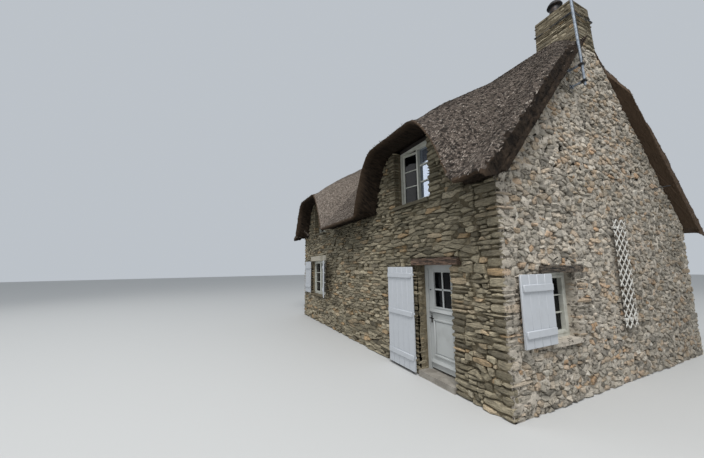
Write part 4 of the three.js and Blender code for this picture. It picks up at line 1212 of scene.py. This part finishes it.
pair_of_lights("front", at=2.75, wide=1.08, low=3.16, high=4.36, back=0.2, skip_left=True)
pair_of_lights("front", at=-2.75, wide=1.08, low=3.16, high=4.36, back=0.2)
pair_of_lights("front", at=-2.85, wide=1.4, low=0.95, high=2.15, back=0.1)
SINGLE_BACK = 0.16  # how far the frames with a single light lie in the wall
for face, light in (("east", (-1.995, 0.94, -1.485, 1.73)), ("back", (1.89, 1.14, 2.51, 1.86)),
                    ("back", (-2.51, 1.14, -1.89, 1.86))):
    place = FACES[face] @ Matrix.Translation((0, 0, -SINGLE_BACK))
    rails(place, light)
    glazing_bars(bars, place, light, rows=3, columns=2)
AJAR = math.radians(14)  # the east dormer's left casement stands open into the room
HUNG = Matrix.Translation((2.2553, -2.765, 3.2053)) @ Matrix.Rotation(AJAR, 4, "Z")
AJAR_LIGHT = (0.0453, 0.049, 0.4457, 1.0604)  # its light, measured from where it is hung
stood = HUNG @ Matrix(((1, 0, 0, 0), (0, 0, -1, 0), (0, 1, 0, 0), (0, 0, 0, 1)))
glazing_bars(bars, stood, AJAR_LIGHT, rows=3, columns=1, depths=(0.025, 0.036))
bars.piece("glazing_bars", cream, slot="white_paint")
dress(cream, "dormer_1_window_frame", "dormer_2_window_frame", "dormer_1_window_casement",
      "front_window_frame", "gable_window_frame", "back_window_1_frame", "back_window_2_frame")
dress(pane, "dormer_1_window_casement_glass", "dormer_2_window_glass", "front_window_glass",
      "gable_window_glass", "back_window_1_glass", "back_window_2_glass", "door_glass")
dress(painted_sky_pane, "dormer_1_window_glass")


# Door. A painted plank frame, a lower leaf with a fielded panel in a moulding and a plain foot
# under a drip moulding, and an upper leaf with four panes and a drip moulding over the split.
door_paint = Finish("door_paint", roughness=0.5)
door_paint.set("Base Color", mix(ramp(grain(door_paint.here, 3, 4), 0.5, 0.8),
                                 paint(180, 182, 180), paint(162, 163, 160)))
LEAF_PLACE = FACES["front"] @ Matrix.Translation((0, 0, -0.235))  # at the leaves' outer face
LEAF_SIDES = (2.937, 3.613)  # both leaves run from the first to the second along the wall
PANEL = (3.02, 0.35, 3.53, 1.0)  # the lower leaf's panel, from corner to corner
LIGHT = (3.07, 1.21, 3.48, 1.82)  # the upper leaf's glass


def drip(pile, place, u0, u1, v, high, out):
    """A drip moulding: a strip with a sloped top."""
    shape = block((u0, v, -0.003), (u1, v + high, out), 0.003)
    for vert in shape.verts:
        if vert.co.y > v + high / 2 and vert.co.z > 0:
            vert.co.z *= 0.35
    pile.add(shape, place)


def ring(pile, place, outer, wide, out, edge=0.004):
    """Four strips round a rectangle."""
    u0, v0, u1, v1 = outer
    for low, high in (((u0, v0), (u1, v0 + wide)), ((u0, v1 - wide), (u1, v1)),
                      ((u0, v0 + wide), (u0 + wide, v1 - wide)),
                      ((u1 - wide, v0 + wide), (u1, v1 - wide))):
        pile.add(block((*low, -0.003), (*high, out), edge), place)


lower = Pile()
ring(lower, LEAF_PLACE, PANEL, wide=0.04, out=0.026, edge=0.011)
u0, v0, u1, v1 = PANEL
field = block((u0 + 0.055, v0 + 0.055, -0.003), (u1 - 0.055, v1 - 0.055, 0.01), 0.009)
lower.add(field, LEAF_PLACE)
drip(lower, LEAF_PLACE, *LEAF_SIDES, v=0.235, high=0.05, out=0.034)
top_rail = (LEAF_SIDES[0], 1.045, LEAF_SIDES[1], 1.085)
ring(lower, LEAF_PLACE, top_rail, wide=0.012, out=0.006, edge=0.002)
lower.piece("lower_leaf_mouldings", door_paint, body="lower_leaf", slot="door_paint")
upper = Pile()
drip(upper, LEAF_PLACE, *LEAF_SIDES, v=1.112, high=0.055, out=0.034)
u0, v0, u1, v1 = LIGHT
beads = (u0 - 0.024, v0 - 0.024, u1 + 0.024, v1 + 0.024)
ring(upper, LEAF_PLACE, beads, wide=0.022, out=0.012)
glazing_bars(upper, LEAF_PLACE, LIGHT, rows=2, columns=2, depths=(-0.018, 0.0), wide=0.03)
upper.piece("upper_leaf_mouldings", door_paint, body="upper_leaf", slot="door_paint")
dress(door_paint, "door_frame", "door_lower_leaf", "door_upper_leaf")


# Lock and handle. A round iron lock let into the upper leaf, and the handle's own solid in the
# same dark iron.
LOCK = Vector((2.968, -2.802, 1.5))  # its outer end


def rod(start, end, radius, sides=12):
    """A round bar between two points."""
    shape = bmesh.new()
    way = Vector(end) - Vector(start)
    bmesh.ops.create_cone(shape, cap_ends=True, segments=sides, radius1=radius, radius2=radius,
                          depth=way.length)
    turn = way.to_track_quat("Z", "Y").to_matrix().to_4x4()
    middle = (Vector(start) + Vector(end)) / 2
    bmesh.ops.transform(shape, matrix=Matrix.Translation(middle) @ turn, verts=shape.verts)
    return shape


lock = Pile()
lock.add(rod(LOCK, LOCK + Vector((0, 0.014, 0)), 0.012, 20))
lock.piece("door_lock", dark_iron, body="upper_leaf", slot="iron")
dress(dark_iron, "door_handle")


# Shutters. Tongued boards with eased edges, ledges nailed across them and iron straps painted
# over, each leaf built about its own pivot and turned to where it hangs.
SHUTTER_Y = -3.085  # the front shutters hang this far across
BOARD_HALF = 0.014  # half the thickness of their boards, which start this far from the pivot
LEDGE = {"in": 0.022, "half": 0.0475, "out": 0.024}  # from the sides, half its width, thickness
STRAP = 0.034  # width of a strap and height of its knuckle
NAIL = {"radius": 0.005, "from": 0.02, "to": 0.0265, "off": 0.025}


def shutter(name, node, body, pivot, turn, wide, bottom, top, ledges, hand, planks):
    """A leaf that runs along its own X from the pivot, with its ledges on the hand side."""
    place = Matrix.Translation((*pivot, 0)) @ Matrix.Rotation(math.radians(turn), 4, "Z")
    leaf = Pile()
    edge = half = BOARD_HALF
    step = (wide - edge) / planks
    for i in range(planks):
        u0, u1 = edge + i * step, edge + (i + 1) * step
        leaf.add(block((u0 + 0.0006, -half, bottom), (u1 - 0.0006, half, top), 0.0045), place)
    for z in ledges:
        near, far = sorted((hand * (half - 0.001), hand * (half + LEDGE["out"])))
        low = (edge + LEDGE["in"], near, z - LEDGE["half"])
        high = (wide - LEDGE["in"], far, z + LEDGE["half"])
        leaf.add(block(low, high, 0.007), place)
        leaf.add(rod((0, 0, z), (0, 0, z + STRAP), 0.01), place)
        near, far = sorted((-hand * (half - 0.001), -hand * (half + 0.004)))
        leaf.add(block((-0.002, -0.004, z), (edge + 0.003, 0.004, z + STRAP), 0.001), place)
        leaf.add(block((edge, near, z), (0.6 * wide, far, z + STRAP), 0.0015), place)
        for i in range(planks):
            for v in (z - NAIL["off"], z + NAIL["off"]):
                u = edge + (i + 0.5) * step
                start, end = [(u, hand * (half + NAIL[key]), v) for key in ("from", "to")]
                leaf.add(rod(start, end, NAIL["radius"], 8), place)
    leaf.piece(name, white, body=body, slot="white_paint", replaces=(node,))


shutter("door_shutter_boards", "door_shutter", "outer_door_shutter",
        pivot=(2.842, SHUTTER_Y), turn=180, wide=0.85, bottom=0.05, top=1.92,
        ledges=(0.285, 1.05, 1.76), hand=1, planks=5)
shutter("left_shutter_boards", "front_shutter_left", "left_window_shutter",
        pivot=(-3.558, SHUTTER_Y), turn=180, wide=0.7, bottom=0.96, top=2.14,
        ledges=(1.19, 1.91), hand=1, planks=5)
shutter("right_shutter_boards", "front_shutter_right", "right_window_shutter",
        pivot=(-2.142, SHUTTER_Y), turn=-18, wide=0.7, bottom=0.96, top=2.14,
        ledges=(1.19, 1.91), hand=-1, planks=5)
shutter("gable_shutter_boards", "gable_shutter", "gable_window_shutter",
        pivot=(4.71, -2.093), turn=-90, wide=0.692, bottom=0.86, top=1.81,
        ledges=(1.04, 1.63), hand=1, planks=4)


# Aerial mast. A galvanised tube that leans a little, held off the gable by its own brackets, with
# dark iron clamps round it and bolts in the wall.
zinc = Finish("galvanised_steel", roughness=0.5, metallic=0.5)
zinc.set("Base Color", mix(ramp(grain(zinc.here, 30, 4), 0.4, 0.6), paint(112, 120, 130),
                           paint(146, 154, 163)))
dress(zinc, "antenna_mast")
LEAN = math.radians(4.5)  # of the mast, towards the front
MAST_FOOT = Vector((4.85, -0.86, 4.95))
MAST_WAY = Vector((0, -math.sin(LEAN), math.cos(LEAN)))


def tube(points, radius, sides=8):
    """A round cable or bar along a path of points, from its first section on."""
    shape = bmesh.new()
    points = [Vector(point) for point in points]
    ring_of = bmesh.ops.create_circle(shape, cap_ends=True, segments=sides, radius=radius)["verts"]
    first = (points[1] - points[0]).to_track_quat("Z", "Y").to_matrix().to_4x4()
    bmesh.ops.transform(shape, matrix=Matrix.Translation(points[0]) @ first, verts=ring_of)
    end = shape.faces[:]
    turned = first
    for i in range(1, len(points)):
        made = bmesh.ops.extrude_face_region(shape, geom=end, use_keep_orig=i == 1)["geom"]
        moved = [item for item in made if isinstance(item, bmesh.types.BMVert)]
        if i > 1:
            bmesh.ops.delete(shape, geom=end, context="FACES_ONLY")
        end = [item for item in made if isinstance(item, bmesh.types.BMFace)]
        before, after = points[i - 1], points[min(i + 1, len(points) - 1)]
        turn = (after - before).to_track_quat("Z", "Y").to_matrix().to_4x4()
        change = Matrix.Translation(points[i]) @ turn @ turned.inverted()
        change = change @ Matrix.Translation(-points[i - 1])
        bmesh.ops.transform(shape, matrix=change, verts=moved)
        turned = turn
    bmesh.ops.recalc_face_normals(shape, faces=shape.faces[:])
    return shape


clamps = Pile()
for far in (0.08, 0.38):
    at = MAST_FOOT + MAST_WAY * far
    low, high = Vector((-0.045, -0.035, -0.018)), Vector((0.028, 0.035, 0.018))
    clamps.add(block(at + low, at + high, 0.004))
    for side in (-1, 1):
        start = at + Vector((-0.04, side * 0.03, 0))
        clamps.add(rod(start, start + Vector((0.085, 0, 0)), 0.004, 8))
    for y in (-0.045, 0.045):
        for z in (-0.018, 0.018):
            start = Vector((4.655, at.y + y, at.z + z))
            clamps.add(rod(start, start + Vector((0.008, 0, 0)), 0.007, 6))
clamps.piece("mast_clamps", dark_iron, slot="iron")

# Cable and arm. Black rubber cable clipped down the mast, with two turns of it left hanging on the
# wall, and near the back verge a bent iron arm set in the gable. Each follows a path of points.
rubber = Finish("black_rubber", roughness=0.6)
rubber.set("Base Color", paint(26, 26, 27))
cable = Pile()
run = [MAST_FOOT + MAST_WAY * far + Vector((0.024, 0.004, 0)) for far in (2.35, 1.6, 0.9, 0.45)]
run += [Vector((4.84, -0.94, 5.2)), Vector((4.78, -0.99, 5.13)), Vector((4.70, -0.98, 5.02))]
TURN, TURN_AT = 0.07, Vector((4.69, -0.99, 4.93))  # radius and middle of the turns
for i in range(25):
    angle = math.tau * i / 12 - 1.2
    around = Vector((0.012 * math.sin(angle / 2), TURN * math.cos(angle), TURN * math.sin(angle)))
    run.append(TURN_AT + around + Vector((0, 0, 0.0012 * i)))
cable.add(tube(run, 0.004))
arm = [(4.64, 1.715, 3.44), (4.70, 1.72, 3.45), (4.76, 1.76, 3.47), (4.80, 1.9, 3.5),
       (4.82, 2.08, 3.53)]
cable.add(tube(arm, 0.008))
cable.piece("cable_and_arm", rubber, slot="iron")


# Trellis. Crossed laths of thin sawn wood, once painted white and now weathered, fixed upright on
# the gable. Its shape is the solid's.
lath = Finish("weathered_lath", roughness=0.8)
lath.set("Base Color", mix(ramp(grain(lath.here, 18, 5), 0.45, 0.65), paint(212, 210, 203),
                           paint(150, 141, 128)))
dress(lath, "trellis")


# Studio: a pale floor, soft light from above and in front, and the camera where the photograph
# was taken.
CAMERA_AT = (7.2057, -6.3853, 1.9528)
YAW, TILT, ROLL = 1.1296641, 0.1287627, -0.0122858  # radians
LENS, FILM = 14.57, 36.0  # focal length and width of the picture, in millimetres

forward = Vector((-math.sin(YAW), math.cos(YAW), 0))
right = Vector((math.cos(YAW), math.sin(YAW), 0))
above = Vector((0, 0, 1))
forward, above = (forward * math.cos(TILT) + above * math.sin(TILT),
                  above * math.cos(TILT) - forward * math.sin(TILT))
right, above = (right * math.cos(ROLL) + above * math.sin(ROLL),
                above * math.cos(ROLL) - right * math.sin(ROLL))
lens = bpy.data.cameras.new("camera")
lens.lens, lens.sensor_width = LENS, FILM
lens.clip_end = 200
camera = bpy.data.objects.new("camera", lens)
camera.matrix_world = Matrix.Translation(CAMERA_AT) @ Matrix(
    (right, above, -forward)).transposed().to_4x4()
bpy.context.scene.collection.objects.link(camera)
bpy.context.scene.camera = camera

floor_shape = bmesh.new()
bmesh.ops.create_grid(floor_shape, x_segments=1, y_segments=1, size=60)
floor_mesh = bpy.data.meshes.new("studio_floor")
floor_shape.to_mesh(floor_mesh)
floor_shape.free()
floor = bpy.data.objects.new("studio_floor", floor_mesh)
floor.location.z = -0.001
bpy.context.scene.collection.objects.link(floor)
plain = Finish("studio_floor", roughness=0.8)
plain.set("Base Color", paint(188, 188, 186))
floor_mesh.materials.append(plain.material)


def soft_lamp(name, at, size, power):
    """A soft square lamp that looks at the middle of the house."""
    lamp = bpy.data.lights.new(name, "AREA")
    lamp.energy, lamp.size = power, size
    held = bpy.data.objects.new(name, lamp)
    held.location = at
    held.rotation_mode = "QUATERNION"
    held.rotation_quaternion = (Vector((0, 0, 2.5)) - Vector(at)).to_track_quat("-Z", "Y")
    bpy.context.scene.collection.objects.link(held)


soft_lamp("key", at=(12, -9, 19), size=8, power=4200)
soft_lamp("fill", at=(-9, -17, 12), size=10, power=500)
soft_lamp("back", at=(2, 16, 14), size=12, power=260)
bpy.context.scene.view_settings.view_transform = "Standard"
world = bpy.data.worlds.new("studio")
bpy.context.scene.world = world
world.use_nodes = True
world.node_tree.nodes["Background"].inputs["Color"].default_value = (0.84, 0.9, 0.97, 1)
world.node_tree.nodes["Background"].inputs["Strength"].default_value = 0.6
